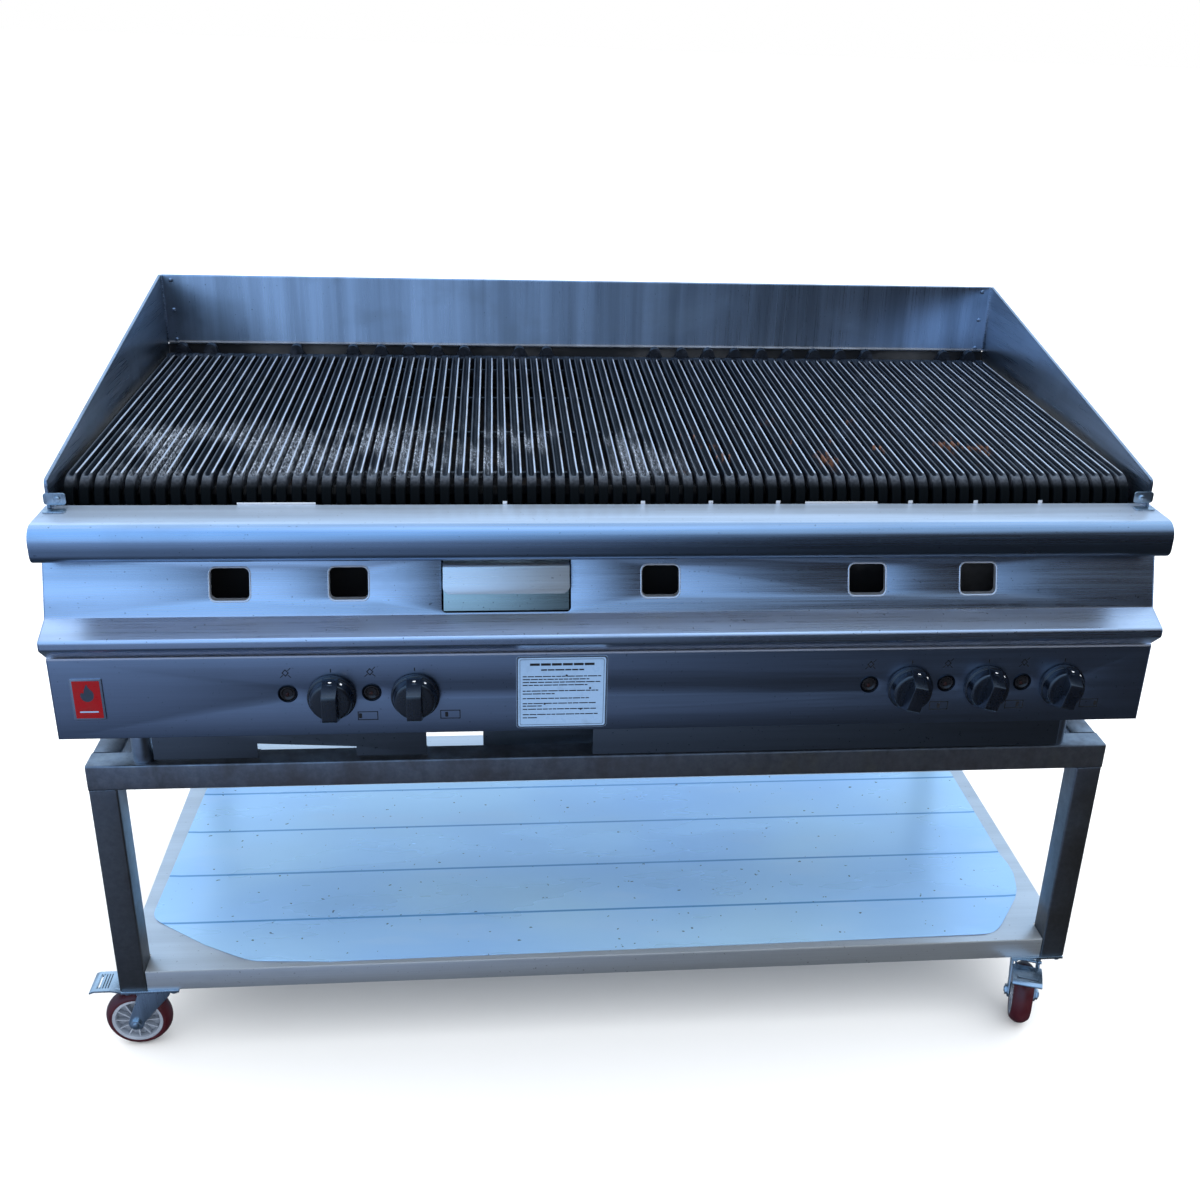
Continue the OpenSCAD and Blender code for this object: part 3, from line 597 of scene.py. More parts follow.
def world():
    """A soft studio: bright and bluish to the left and behind, dark low down and to the right.

    Only reflections see it. Dull surfaces get an even white light from all round, and to the
    camera the background is plain white.
    """
    w = bpy.data.worlds.new("studio")
    bpy.context.scene.world = w
    w.cycles.sampling_method = "NONE"
    w.use_nodes = True
    w.node_tree.nodes.clear()
    sky = Nodes(w.node_tree, "Generated")
    height = sky.span(sky.axis("Z"), -1, 1, kind="LINEAR")
    top = 2.0

    def ramp(*stops):
        """Colours by how far up a reflection looks, from -1 to 1."""
        n = sky.node("ValToRGB", {0: height})
        while len(n.color_ramp.elements) < len(stops):
            n.color_ramp.elements.new(0.5)
        for e, (z, c) in zip(n.color_ramp.elements, stops):
            e.position, e.color = (z + 1) / 2, (*(v / top for v in c), 1)
        return n.outputs[0]

    left = ramp((-1, (0.02, 0.03, 0.05)), (-0.75, (0.04, 0.06, 0.10)), (-0.5, (0.14, 0.20, 0.33)),
                (-0.2, (0.17, 0.25, 0.41)), (0.05, (0.34, 0.53, 0.86)), (0.2, (0.40, 0.66, 1.08)),
                (0.5, (0.40, 0.72, 1.2)), (0.85, (0.36, 0.68, 1.2)), (1, (0.8, 1.2, 1.9)))
    right = ramp((-1, (0.02, 0.024, 0.03)), (-0.1, (0.018, 0.02, 0.026)), (0.3, (0.022, 0.022, 0.025)),
                 (0.48, (0.07, 0.08, 0.10)), (0.64, (0.40, 0.57, 0.80)), (0.85, (0.40, 0.60, 0.86)),
                 (1, (0.75, 1.1, 1.6)))
    back = ramp((-1, (0.02, 0.03, 0.04)), (-0.7, (0.06, 0.08, 0.11)), (-0.5, (0.19, 0.25, 0.34)),
                (0, (0.3, 0.4, 0.55)), (0.35, (0.6, 0.9, 1.3)), (0.5, (0.7, 1.0, 1.35)), (1, (0.6, 0.8, 1.1)))
    front = sky.mix(sky.span(sky.axis("X"), -0.35, 0.35), left, right)
    around = sky.mix(sky.span(sky.axis("Y"), -0.1, 0.3), front, back)
    path = sky.node("LightPath")
    last = sky.node("Background", {0: around, 1: top})
    for ray, color, power in (("Is Diffuse Ray", (0.92, 0.96, 1.0), 1.55), ("Is Camera Ray", (1, 1, 1), 1.0)):
        other = sky.node("Background", {0: color, 1: power})
        last = sky.node("MixShader", {0: path.outputs[ray], 1: last.outputs[0], 2: other.outputs[0]})
    sky.put(last.outputs[0], sky.node("OutputWorld").inputs[0])


def room():
    world()
    look = Look("floor", (0.93, 0.93, 0.93), 0.9)
    cloud = look.noise(1.5, 3.0, 0.5)
    material = look.done(look.mix(cloud, (0.93, 0.925, 0.92), (0.95, 0.945, 0.94)))
    bm = bmesh.new()
    bmesh.ops.create_grid(bm, x_segments=2, y_segments=2, size=60)
    mesh = bpy.data.meshes.new("floor")
    bm.to_mesh(mesh)
    bm.free()
    mesh.materials.append(material)
    floor = shown("floor", mesh)
    floor.visible_glossy = False
    # a little more from above for everything that isn't a mirror
    data = bpy.data.lights.new("ceiling", "AREA")
    data.size, data.energy, data.color = 30, 1500, (1.0, 0.99, 0.97)
    ceiling = shown("ceiling", data)
    ceiling.location = (0, 0, 9)
    ceiling.visible_glossy = False
    bpy.context.scene.view_settings.view_transform = "Standard"


# ---- cladding --------------------------------------------------------------------------

T = 1.5
FASCIA_TOP, FASCIA_FOOT = (45, -51), (17, -130)
HOLE_X = (-515, -362, 52, 338, 495)
HOLE_Z = -90
HOLE_WIDE, HOLE_HIGH = 51, 41
DRAWER_X = -155


def fascia_y(z):
    lean = (FASCIA_TOP[0] - FASCIA_FOOT[0]) / (FASCIA_TOP[1] - FASCIA_FOOT[1])
    return FASCIA_TOP[0] + (z - FASCIA_TOP[1]) * lean


def capped(path, bevel, end_bevel, inset, holes=None):
    """A bent front sheet with a flat plate over each end."""
    s = Shape().prism(sheet(path, T), "x", inset - HALF, HALF - inset)
    if holes:
        s.cut(holes)
    s.bevel(*bevel)
    ends = Shape()
    for side in (-1, 1):
        ends.prism(path, "x", side * (HALF - T), side * HALF)
    return s.add(ends.bevel(*end_bevel))


def nose():
    foot = -50
    path = ([(89, -14), (89, -3), (88.2, -0.9), (86.3, 0)] + arc(22, -22, 22, 90, 180, 16)
            + arc(14, -36, 14, 180, 270, 12) + [(45, foot)])
    s = capped(path, (0.35, 50), (0.9, 50, 3), 0.6)
    s.piece("front_nose", "cabinet", "steel", M["nose"], "front_nose")
    # screws under the ends, and burnt grease that ran under the edge
    s = Shape()
    for side in (-1, 1):
        s.lathe([(0.5, -5.5), (3.2, -5), (4.2, -3), (4.2, 0)], upward(side * 730, 36, foot), 16)
    s.piece("nose_screws", "cabinet", "zinc", M["zinc"])
    s = Shape()
    rng = random.Random(4)
    for k in range(9):
        x, r = 276 + 2.6 * k, rng.uniform(1.5, 3.2)
        y = 34 + rng.uniform(-3, 3)
        s.lathe([(0.3 * r, -r), (0.8 * r, -0.7 * r), (r, 0), (0.7 * r, 0.5)], upward(x, y, foot), 10)
    s.piece("nose_grease", "cabinet", "rail_steel", M["burner"])


def fascia():
    path = ([FASCIA_TOP, FASCIA_FOOT] + arc(-15, -150.5, 6, 110, 180, 8)
            + arc(-15, -156, 6, 180, 225, 6) + [(2, -179)])
    holes = Shape()
    for x in HOLE_X:
        holes.prism(round_rect(HOLE_WIDE, HOLE_HIGH, 8, x, HOLE_Z), "y", 5, 70)
    holes.prism(round_rect(172, 75, 6, DRAWER_X, HOLE_Z - 0.5), "y", 5, 70)
    s = capped(path, (0.35, 50), (0.5, 50), T, holes)
    s.piece("fascia", "cabinet", "steel", M["fascia"], "fascia")
    # rolled edges of the lighting holes, in the lighter rim steel, a painted highlight
    s = Shape()
    for x in HOLE_X:
        outer, crest, inner = (round_rect(HOLE_WIDE + d, HOLE_HIGH + d, r, x, HOLE_Z)
                               for d, r in ((3.6, 9), (1.8, 8.4), (-0.6, 7.6)))
        s.border([[(u, fascia_y(v) + near, v) for u, v in side] for side, near in
                  ((outer, 0.4), (outer, -0.2), (crest, -0.6), (inner, -0.1), (inner, 9), (crest, 9),
                   (crest, 0.4))])
    s.piece("lighting_hole_rims", "cabinet", "steel", M["rim"])


def panel():
    path = [(6, -180), (1.6, -180), (0.4, -180.5), (0, -181.8), (0, -298.2), (0.5, -299.5),
            (1.8, -300), (18, -300)]
    holes = Shape()
    for x, z, r in [(x, KNOB_Z, 7) for x in KNOB_X] + [(x, BUTTON_Z, 12) for x in BUTTON_X]:
        holes.prism(arc(x, z, r, 0, 345, 23), "y", -4, 6)
    s = capped(path, (0.3, 60), (0.5, 60), T, holes)
    s.piece("control_panel", "cabinet", "panel_steel", M["panel"], "control_panel")


def ribbon(s, points, width, y=-0.12, closed=False):
    """A printed line on the panel: a thin raised strip along (x, z) points."""
    n = len(points)
    for i in range(n if closed else n - 1):
        a, b = Vector(points[i]), Vector(points[(i + 1) % n])
        d = (b - a).normalized() * width / 2
        side = Vector((-d.y, d.x))
        quad = [a - d + side, a - d - side, b + d - side, b + d + side]
        s.prism([tuple(p) for p in quad], "y", y, 0.1)


def prints():
    """Plain symbols: a spark over each button, a tick over each knob and a burner plan beside it."""
    s = Shape()
    for i, (kx, bx) in enumerate(zip(KNOB_X, BUTTON_X)):
        for k in range(4):
            a = math.radians(45 + 90 * k)
            c = (bx - 1 + 5 * math.cos(a), BUTTON_Z + 31 + 5 * math.sin(a))
            e = (bx - 1 + 9.5 * math.cos(a), BUTTON_Z + 31 + 9.5 * math.sin(a))
            if k != 1:
                ribbon(s, [c, e], 1.1)
        ribbon(s, [(bx - 1 + u, BUTTON_Z + 31 + v) for u, v in ((-4, 0), (0, 4.6), (4, 0), (0, -4.6))],
               1.3, closed=True)
        ribbon(s, [(kx, KNOB_Z + 36.5), (kx, KNOB_Z + 40.5)], 1.4)
        cx, cz = kx + 46, KNOB_Z - 30.5
        frame_path = [(cx - 13, cz - 6), (cx + 13, cz - 6), (cx + 13, cz + 6), (cx - 13, cz + 6)]
        ribbon(s, frame_path, 1.2, closed=True)
        mark = cx - 10 + 5 * i
        s.prism(round_rect(4.2, 7.5, 1.0, mark, cz, 3), "y", -0.12, 0.1)
    s.piece("panel_prints", "cabinet", "print_dark", M["print"])


def label():
    """A plate with plain bars where the real one is printed."""
    wide, high, cx, cz = 124, 110, -81, -240
    left, top = cx - wide / 2, cz + high / 2
    s = Shape().prism(round_rect(wide, high, 5, cx, cz), "y", -0.6, 0).bevel(0.2, 50)
    s.piece("label_plate", "cabinet", "label_white", M["label"], "label_plate")

    def outline(s, outer, outer_r, inner, inner_r, foot, face):
        far, near = (round_rect(wide - d, high - d, r, cx, cz)
                     for d, r in ((outer, outer_r), (inner, inner_r)))
        s.border([[(u, y, v) for u, v in side] for side, y in
                  ((far, foot), (far, face), (near, face), (near, foot))])

    s = Shape()
    outline(s, 0.6, 4.8, 5, 3.4, -0.55, -0.7)
    s.piece("label_border", "cabinet", "button_ring", M["ring"])
    s = Shape()
    outline(s, 9.5, 2.6, 10.7, 2.2, -0.5, -0.66)
    rng = random.Random(11)
    # share of the height, share of the width at each end, bar height
    rows = [(0.115, 0.15, 0.86, 3.6), (0.19, 0.27, 0.74, 2.2)]
    rows += [(f, 0.07, e, 1.5) for f, e in
             ((0.28, 0.93), (0.32, 0.80), (0.36, 0.92), (0.40, 0.78), (0.48, 0.90), (0.52, 0.42),
              (0.585, 0.80), (0.655, 0.90), (0.69, 0.30), (0.735, 0.88), (0.81, 0.90), (0.855, 0.24))]
    for share, start, stop, h in rows:
        z, x, end = top - high * share, left + wide * start, left + wide * stop
        while x < end - 2:
            w = min(rng.uniform(4, 13) if h < 3 else 13.2, end - x)
            s.box((x, x + w), (-0.68, -0.5), (z - h / 2, z + h / 2))
            x += w + (1.1 if h < 3 else 1.6)
    for fx, fz in ((0.55, 0.27), (0.81, 0.45), (0.31, 0.66), (0.71, 0.74)):
        s.prism(round_rect(3, 3, 1.2, left + wide * fx, top - high * fz, 3), "y", -0.7, -0.5)
    s.piece("label_bars", "cabinet", "print_dark", M["print"])


def badge():
    x, z = -704.5, -239.5
    s = Shape().prism(round_rect(41, 61, 2, x, z), "y", -1.5, 0).bevel(0.4, 50)
    s.piece("badge_frame", "cabinet", "button_ring", M["ring"])
    s = Shape().prism(round_rect(35, 55, 1, x, z), "y", -1.9, -1).bevel(0.2, 50)
    s.piece("badge_plate", "cabinet", "badge_red", M["badge"], "badge_plate")
    # a plain flame over a bar
    flame = [(1, 19), (3, 12), (8, 7), (9, 1), (7, -5), (2, -8), (-2, -8), (-7, -5), (-9, 1), (-7, 6),
             (-4, 4), (-3, 10)]
    s = Shape().prism([(x + u, z + 5 + v) for u, v in fillet(flame, 5, 4, True)], "y", -2, -1.5)
    s.piece("badge_flame", "cabinet", "label_white", M["tray"])
    s = Shape().prism(round_rect(24, 2, 0.8, x, z - 18), "y", -2, -1.5)
    s.piece("badge_bar", "cabinet", "label_white", M["label"])


def splashback():
    top, y = 172, 774
    path = [(777.5, top - 15), (777.5, top - 2.6), (777.1, top - 1.7), (776.6, top - T), (776.2, top - T),
            (775.7, top - 2), (775.5, top - 2.8), (775.5, 57.5), (775.1, 56.2), (774, 55.5), (y - 5, 55.5)]
    s = Shape().prism(sheet(path, -T), "x", -737.3, 737.3).bevel(0.3, 50)
    s.piece("splashback", "cabinet", "steel", M["splash"], "splashback")
    # sealing strip under its foot, and seams of the guards, folded round the back corners
    s = Shape().box((-737, 737), (777.6, 778.9), (52.05, 58))
    for side in (-1, 1):
        s.box((side * 737.4 - 2, side * 737.4 + 2), (y - 3.2, y + 2), (56, top - 1))
        for z in (60, 112, 163):
            s.lathe([(0.4, -4.8), (3, -4.4), (3.6, -3.2), (3.6, -2)], backward(side * 722, y + 2, z), 14)
    s.bevel(0.5, 50)
    s.piece("corner_seams", "cabinet", "steel", M["steel"])


def guards():
    front, rise, back = 70, 40, 776
    for side, name in ((-1, "side_guard_left"), (1, "side_guard_right")):
        skin = [(front, 0.3), (front, rise), (back, 172), (back, -15), (91, -15), (91, 0.3)]
        hem = fillet([(front, 0.3), (front, rise), (back, 172)], 8, 5)
        mid = side * 738.25
        s = Shape().prism(skin, "x", mid - T / 2, mid + T / 2)
        s.prism(sheet(hem, -T), "x", side * 740 - 2.5, side * 740 + 2.5)
        s.bevel(0.4, 50)
        s.piece(name, "cabinet", "steel", M["guard"], name)
        # bracket that holds the front foot down
        s = Shape().prism(round_rect(28, 16, 4, side * 731.5, 15), "y", 68.2, 69.8)
        s.prism(round_rect(28, 14, 3, side * 731.5, 62), "z", 0.4, 1.9).bevel(0.3, 50)
        s.lathe([(0.5, -3.4), (3, -3), (4, -1.6), (4, 0)], backward(side * 728, 68.2, 15), 16)
        s.piece(name + "_bracket", "cabinet", "zinc", M["zinc"])


def drawer():
    """Sloping front with a turned-down grip lip, and the tray behind it."""
    half, t = 83.5, 1.2
    top, foot, rim, back = -62, -126, -86, 560

    def place(x, y, z):
        return at(DRAWER_X + x, y, z)

    face = [(fascia_y(z) + 1, z) for z in (top, foot)]
    s = Shape(place).prism(sheet(face, t), "x", -half, half)
    side = [(fascia_y(rim) + 2, rim), (fascia_y(foot) + 2, foot), (back, foot), (back, rim)]
    for k in (-1, 1):
        s.prism(side, "x", k * (half - t), k * half)
    s.box((-half, half), (fascia_y(foot) + 2, back), (foot, foot + t))
    s.box((-half, half), (back - t, back), (foot, rim)).bevel(0.3, 50)
    s.piece("drip_drawer", "drip_drawer", "drawer_steel", M["drawer"], "drip_drawer")
    # the lip: a flat top, a soft bend and a skirt with rounded corners, in steel painted lighter as a
    # highlight
    reach, skirt = 15, 36
    s = Shape(place)
    rows = []
    *bend, a, b = fillet([(fascia_y(top) + 2, 0), (fascia_y(top) - reach, 0),
                          (fascia_y(top - skirt) - reach, -skirt)], 4, 5)
    bend += [(a[0] + (b[0] - a[0]) * k / 6, a[1] + (b[1] - a[1]) * k / 6) for k in range(7)]
    outline = sheet(bend, -t)
    n = len(bend)
    for k in range(n):
        a, b = outline[k], outline[2 * n - 1 - k]
        drop = max(0.0, -a[1] - 29)
        w = half - (7 - math.sqrt(max(0.0, 49 - drop * drop))) if drop > 0 else half
        rows.append([(u, p[0], top + p[1] - t) for u, p in ((-w, a), (w, a), (w, b), (-w, b))])
    s.rings(rows).bevel(0.3, 60)
    s.piece("drawer_grip", "drip_drawer", "drawer_steel", M["grip"])
    # the skirt's rolled hem, in the lighter rim steel, a painted highlight along its edge
    path = ([(-half + 0.6, -17)] + arc(-half + 7, -28.6, 6.6, 180, 270, 8)
            + arc(half - 7, -28.6, 6.6, 270, 360, 8) + [(half - 0.6, -17)])
    rings = []
    for k, p in enumerate(path):
        run = (Vector(path[min(k + 1, len(path) - 1)]) - Vector(path[max(k - 1, 0)])).normalized()
        ring = []
        for a in range(0, 360, 45):
            ca, sa = turned(a, 0.75)
            u, v = p[0] - run.y * ca, p[1] + run.x * ca
            ring.append((u, fascia_y(top + v) - reach + 0.5 + sa, top + v))
        rings.append(ring)
    Shape(place).rings(rings).piece("drawer_grip_hem", "drip_drawer", "drawer_steel", M["rim"])


# ---- grates ----------------------------------------------------------------------------

GRATE_PITCH = 97.3
LUGS = [[-1, 1], [], [-1], [-1, 1], [-1, 1], [-1], [-1, 1], [], [1],
        [-1, 1], [-1, 1], [-1, 1], [-1, 1], [], [-1, 1]]
# section of a bar: across, up, wear. The right crest stands higher and is rubbed bright
SECTION = [(-4.6, -22, 0), (-5.4, -19, 0), (-6.5, -8, 0), (-6.5, -2.2, 0.05), (-6.0, -1.2, 0.25),
           (-5.0, -0.9, 0.42), (-4.2, -1.3, 0.25), (-3.6, -2.6, 0.0), (-2.9, -6.5, 0), (-1.2, -9, 0),
           (1.2, -9.5, 0), (2.8, -7, 0), (3.3, -2.6, 0), (3.9, -0.5, 0.55), (4.8, 0, 1), (5.8, -0.3, 0.95),
           (6.4, -1.5, 0.25), (6.5, -4, 0), (5.4, -19, 0), (4.6, -22, 0)]


def bar_stations():
    """Along the middle of a bar's top, from its bent-down tip to the back: y, z, tilt, fill, grow."""
    out = [(1.5, -42, 180, 1, 0.82), (0.3, -40.5, 180, 1, 0.94), (0, -38, 180, 1, 1)]
    for k in range(9):
        a = 180 - 90 * k / 8
        y, z = turned(a, 34)
        out.append((34 + y, -34 + z, a, min(1.0, max(0.0, (a - 91) / 14)), 1))
    out += [(y, 0, 90, 0, 1) for y in (40, 60, 130, 210, 300, 390, 480, 560, 625)]
    return out + [(634, 0, 90, 1, 1), (645, 0, 90, 1, 1)]


def grate(k):
    name = "grate_%02d" % (k + 1)
    lo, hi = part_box(name)
    x0 = (lo.x + hi.x) * 500
    front, front_top, back_top, length, foot = 92, 32, 46, 653, -22
    slope = math.atan((back_top - front_top) / length)
    cs, sn = math.cos(slope), math.sin(slope)

    def place(x, y, z):
        return at(x0 + x, front + y * cs - z * sn, front_top + y * sn + z * cs)

    s = Shape(place)
    wear = s.bm.verts.layers.float.new("wear")
    bend = s.bm.verts.layers.float.new("bend")
    stations = bar_stations()
    pitch = (GRATE_PITCH - 0.8) / 5
    rng = random.Random(k)
    for b in range(5):
        rings = []
        mid = (b - 2) * pitch
        for y, z, tilt, fill, grow in stations:
            ca, sa = turned(tilt)
            wave = rng.uniform(-0.18, 0.18) if 40 < y < 620 else 0
            ring = []
            for u, v, _ in SECTION:
                if fill and -4.3 < u < 3.9 and v > -10:
                    v += fill * (-0.5 - v)
                u, v = u * grow, -11 + (v + 11) * grow
                ring.append((mid + u + wave, y + v * ca, z + v * sa))
            rings.append(ring)
        start = len(s.bm.verts)
        s.rings(rings)
        s.bm.verts.ensure_lookup_table()
        for i in range(start, len(s.bm.verts)):
            y, z, tilt, fill, grow = stations[(i - start) // len(SECTION)]
            s.bm.verts[i][wear] = SECTION[(i - start) % len(SECTION)][2] if tilt < 95 and not fill else 0
            s.bm.verts[i][bend] = min(1.0, (tilt - 90) / 60)
    for y in (70, 250, 430, 600):
        rib = [(y, -21.5), (y + 1, -14.6), (y + 2, -14), (y + 6, -14), (y + 7, -14.6), (y + 8, -21.5)]
        s.prism(rib, "x", -pitch * 2.5, pitch * 2.5)
    end = [(637, foot), (637, -3.5), (639, -2), (650, -2), (length, -5), (length, foot)]
    s.prism(end, "x", -pitch * 2.5, pitch * 2.5)
    for side in LUGS[k]:
        cx = side * GRATE_PITCH / 4
        dome = ([(cx - 16, foot), (cx - 16, -6)] + arc(cx, 4, 10, 180, 0, 12)
                + [(cx + 16, -6), (cx + 16, foot)])
        s.rings([[(u, 649, v) for u, v in dome], [(u, 663.5, v) for u, v in dome],
                 [(cx + (u - cx) * 0.9, 665, -6 + (v + 6) * 0.92) for u, v in dome]])
    s.piece(name, name, "grate_iron", M["grate"], name, smooth=50)


# ---- controls --------------------------------------------------------------------------

def knob(i):
    name = "knob_%d" % (i + 1)
    ct, st = turned(KNOB_TURN[i])

    def place(a, b, d):
        return at(KNOB_X[i] + a * ct + b * st, -1 - d, KNOB_Z - a * st + b * ct)

    s = Shape(place)
    s.lathe([(31.6, 0), (32.5, 0.8), (32.5, 5.2), (32.1, 6.4), (31.2, 7), (30.3, 7.2), (29.6, 8),
             (29.2, 9.4), (27.6, 17.2), (26.7, 19.2), (25.2, 20.2), (23, 20.6), (8, 20.6)],
            upward(0, 0, 0), 96)
    half = [(30.8, 4), (30.2, 10), (18.5, 39.4), (15.5, 40.5)]
    side = fillet([(-b, d) for b, d in half] + half[::-1], 1.2, 2)
    grip = Shape(place)
    grip.rings([[(k * (11 - d * 0.03), b, d) for b, d in side] for k in (-1, 1)]).bevel(1.1, 35, 3)
    s.add(grip)
    s.box((-0.7, 0.7), (-15, 15), (40, 41))
    for u in (-4.2, -7.2, 4.2, 7.2):
        s.box((u - 0.4, u + 0.4), (-14, 13), (40, 40.8))
    s.piece(name, name, "knob_plastic", M["knob"], name, smooth=35)
    # an index spot on the sloping side of the drum, and a smaller white spot beside it that is a painted
    # glint
    s = Shape(place)
    for around, r in ((0, 3.0), (30, 1.7)):
        ca, sa = turned(around)

        def spot(a, b, h):
            out = 28.6 + h * 0.98 - b * 0.2
            return a * ca + out * sa, out * ca - a * sa, 12.5 + b + h * 0.2
        s.lathe([(r, -0.8), (r, 0.1), (r - 0.5, 0.35), (0.3, 0.4)], spot, 20)
    s.piece(name + "_spots", name, "label_white", M["white"])


def igniters():
    s = Shape()
    for x in BUTTON_X:
        s.lathe([(13, 0), (13, -0.8), (12.5, -1.4), (11.4, -1.5), (10.7, -1.1), (10.6, 24), (11.8, 26),
                 (11.8, 0.2)], backward(x, 0, BUTTON_Z), 40, closed=True)
    s.piece("igniter_rings", "cabinet", "button_ring", M["bezel"], "igniter_housings")
    for i, x in enumerate(BUTTON_X):
        name = "igniter_button_%d" % (i + 1)
        s = Shape()
        s.lathe([(9, 14), (10.4, 13), (10.4, 0.4), (9.8, -0.3), (8.6, -0.5), (7.4, 0.2), (6.2, 1.6),
                 (0.5, 2.0)], backward(x, 0, BUTTON_Z), 40)
        s.piece(name, name, "button_black", M["button"], name)
        s = Shape()
        s.lathe([(2.6, 2.4), (2.4, 1.0), (1.4, 0.6), (0.3, 0.5)], backward(x - 1, 0, BUTTON_Z - 2), 20)
        s.piece(name + "_core", name, "button_black", M["glow"])


# ---- stand -----------------------------------------------------------------------------

TUBE = 40


def tube(s, to, length, wall=2):
    """Square tube with rounded corners; to(a, b, h) places it."""
    bore = TUBE - 2 * wall
    outer, inner = round_rect(TUBE, TUBE, 3.2, n=4), round_rect(bore, bore, 1.4, n=4)
    s.border([[to(u, v, h) for u, v in side] for side, h in
              ((outer, 0), (outer, length), (inner, length), (inner, 0))])


def stand():
    lo, hi = (v * 1000 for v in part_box("stand_cross_rails"))
    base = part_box("stand_legs")[0].z * 1000
    xs = (lo.x + TUBE / 2, hi.x - TUBE / 2)
    ys = (lo.y + TUBE / 2, hi.y - TUBE / 2)
    mid = hi.z - TUBE / 2
    s = Shape(on_floor)
    for x in xs:
        for y in ys:
            tube(s, upward(x, y, base), lo.z - base)
    s.bevel(0.3, 60).piece("stand_legs", "cabinet", "tube_steel", M["tube"], "stand_legs")
    s = Shape(on_floor)
    for y in ys:
        tube(s, sideways(lo.x, y, mid), hi.x - lo.x)
        for x in (lo.x + 0.2, hi.x - 4.2):
            s.prism(round_rect(37, 37, 2.4, y, mid), "x", x, x + 4)
    s.bevel(0.3, 60).piece("stand_cross_rails", "cabinet", "tube_steel", M["tube"], "stand_cross_rails")
    s = Shape(on_floor)
    for x in xs:
        tube(s, backward(x, ys[0] + TUBE / 2, mid), ys[1] - ys[0] - TUBE)
    s.bevel(0.3, 60).piece("stand_side_rails", "cabinet", "tube_steel", M["tube"], "stand_side_rails")
    welds(xs, ys, lo.z)


def welds(xs, ys, z):
    """Rippled beads round the joints of the tubes."""
    s = Shape(on_floor)
    rng = random.Random(2)
    half = TUBE / 2

    def bead(a, b):
        a, b = Vector(a), Vector(b)
        n = int((b - a).length / 1.6)
        u = (b - a).normalized()
        v = u.orthogonal().normalized()
        w = u.cross(v)
        rings = []
        for k in range(n + 1):
            p = a + (b - a) * k / n
            r = 1.25 + 0.35 * math.sin(k * 1.9) + rng.uniform(-0.2, 0.2)
            if k in (0, n):
                r = 0.5
            rings.append([tuple(p + v * r * math.cos(t) + w * r * math.sin(t))
                          for t in [math.pi * 2 * j / 8 for j in range(8)]])
        s.rings(rings)
    for x in xs:
        for y in ys:
            e = half - 2.5
            for k in (-1, 1):
                d = k * (half - 0.3)
                bead((x - e, y + d, z), (x + e, y + d, z))
                bead((x + d, y - e, z), (x + d, y + e, z))
            inner = y + (half if y < 0 else -half)
            for k in (-1, 1):
                bead((x + k * (half - 0.4), inner, z + 3), (x + k * (half - 0.4), inner, z + TUBE - 3))
    s.piece("stand_welds", "cabinet", "tube_steel", M["tube"], smooth=80)


def shelf():
    lo, hi = (v * 1000 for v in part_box("shelf"))
    t, notch = T, TUBE + 1
    lx, ly = hi.x + 3 - notch, hi.y - notch
    top = hi.z
    plate = [(-lx, lo.y), (lx, lo.y), (lx, lo.y + notch), (hi.x, lo.y + notch), (hi.x, ly), (lx, ly),
             (lx, hi.y), (-lx, hi.y), (-lx, ly), (lo.x, ly), (lo.x, lo.y + notch), (-lx, lo.y + notch)]
    s = Shape(on_floor).prism(plate, "z", top - t, top)
    for y in (lo.y, hi.y - t):
        s.box((-lx, lx), (y, y + t), (lo.z, top - t / 2))
    for x in (lo.x, hi.x - t):
        s.box((x, x + t), (lo.y + notch, ly), (lo.z, top - t / 2))
    s.bevel(0.5, 50).piece("shelf", "cabinet", "shelf_steel", M["shelf"], "shelf")
    # film, trimmed roughly and lifting a little at its free edge
    y0 = NOSE_LO.y * 1000
    cut = [(-705, 560), (-717, 175), (-680, 148), (-622, 105), (-547, 61), (-427, 54), (-100, 57), (300, 60),
           (627, 62), (702, 168), (716, 233), (710, 278), (710, 560)]
    edge = fillet([(x, y + y0) for x, y in cut], 30, 6)
    rng = random.Random(7)
    s = Shape(on_floor)
    centre = Vector((0, 350 + y0))
    rings = []
    for share, loose in ((0.0015, 0), (0.35, 0), (0.7, 0), (0.9, 0), (0.975, 0.25), (1.0, 1)):
        ring = []
        for j, p in enumerate(edge):
            q = centre + (Vector(p) - centre) * share
            lift = 0.35 + (0.9 + 0.7 * math.sin(j * 1.3)) * loose
            ring.append((q.x, q.y, top + lift + rng.uniform(0, 0.05)))
        rings.append(ring)
    under = [[(x, y, z - 0.25) for x, y, z in ring] for ring in rings[::-1]]
    s.rings(rings + under)
    s.piece("shelf_film", "cabinet", "shelf_film", M["film"], smooth=60)


# ---- casters ---------------------------------------------------------------------------

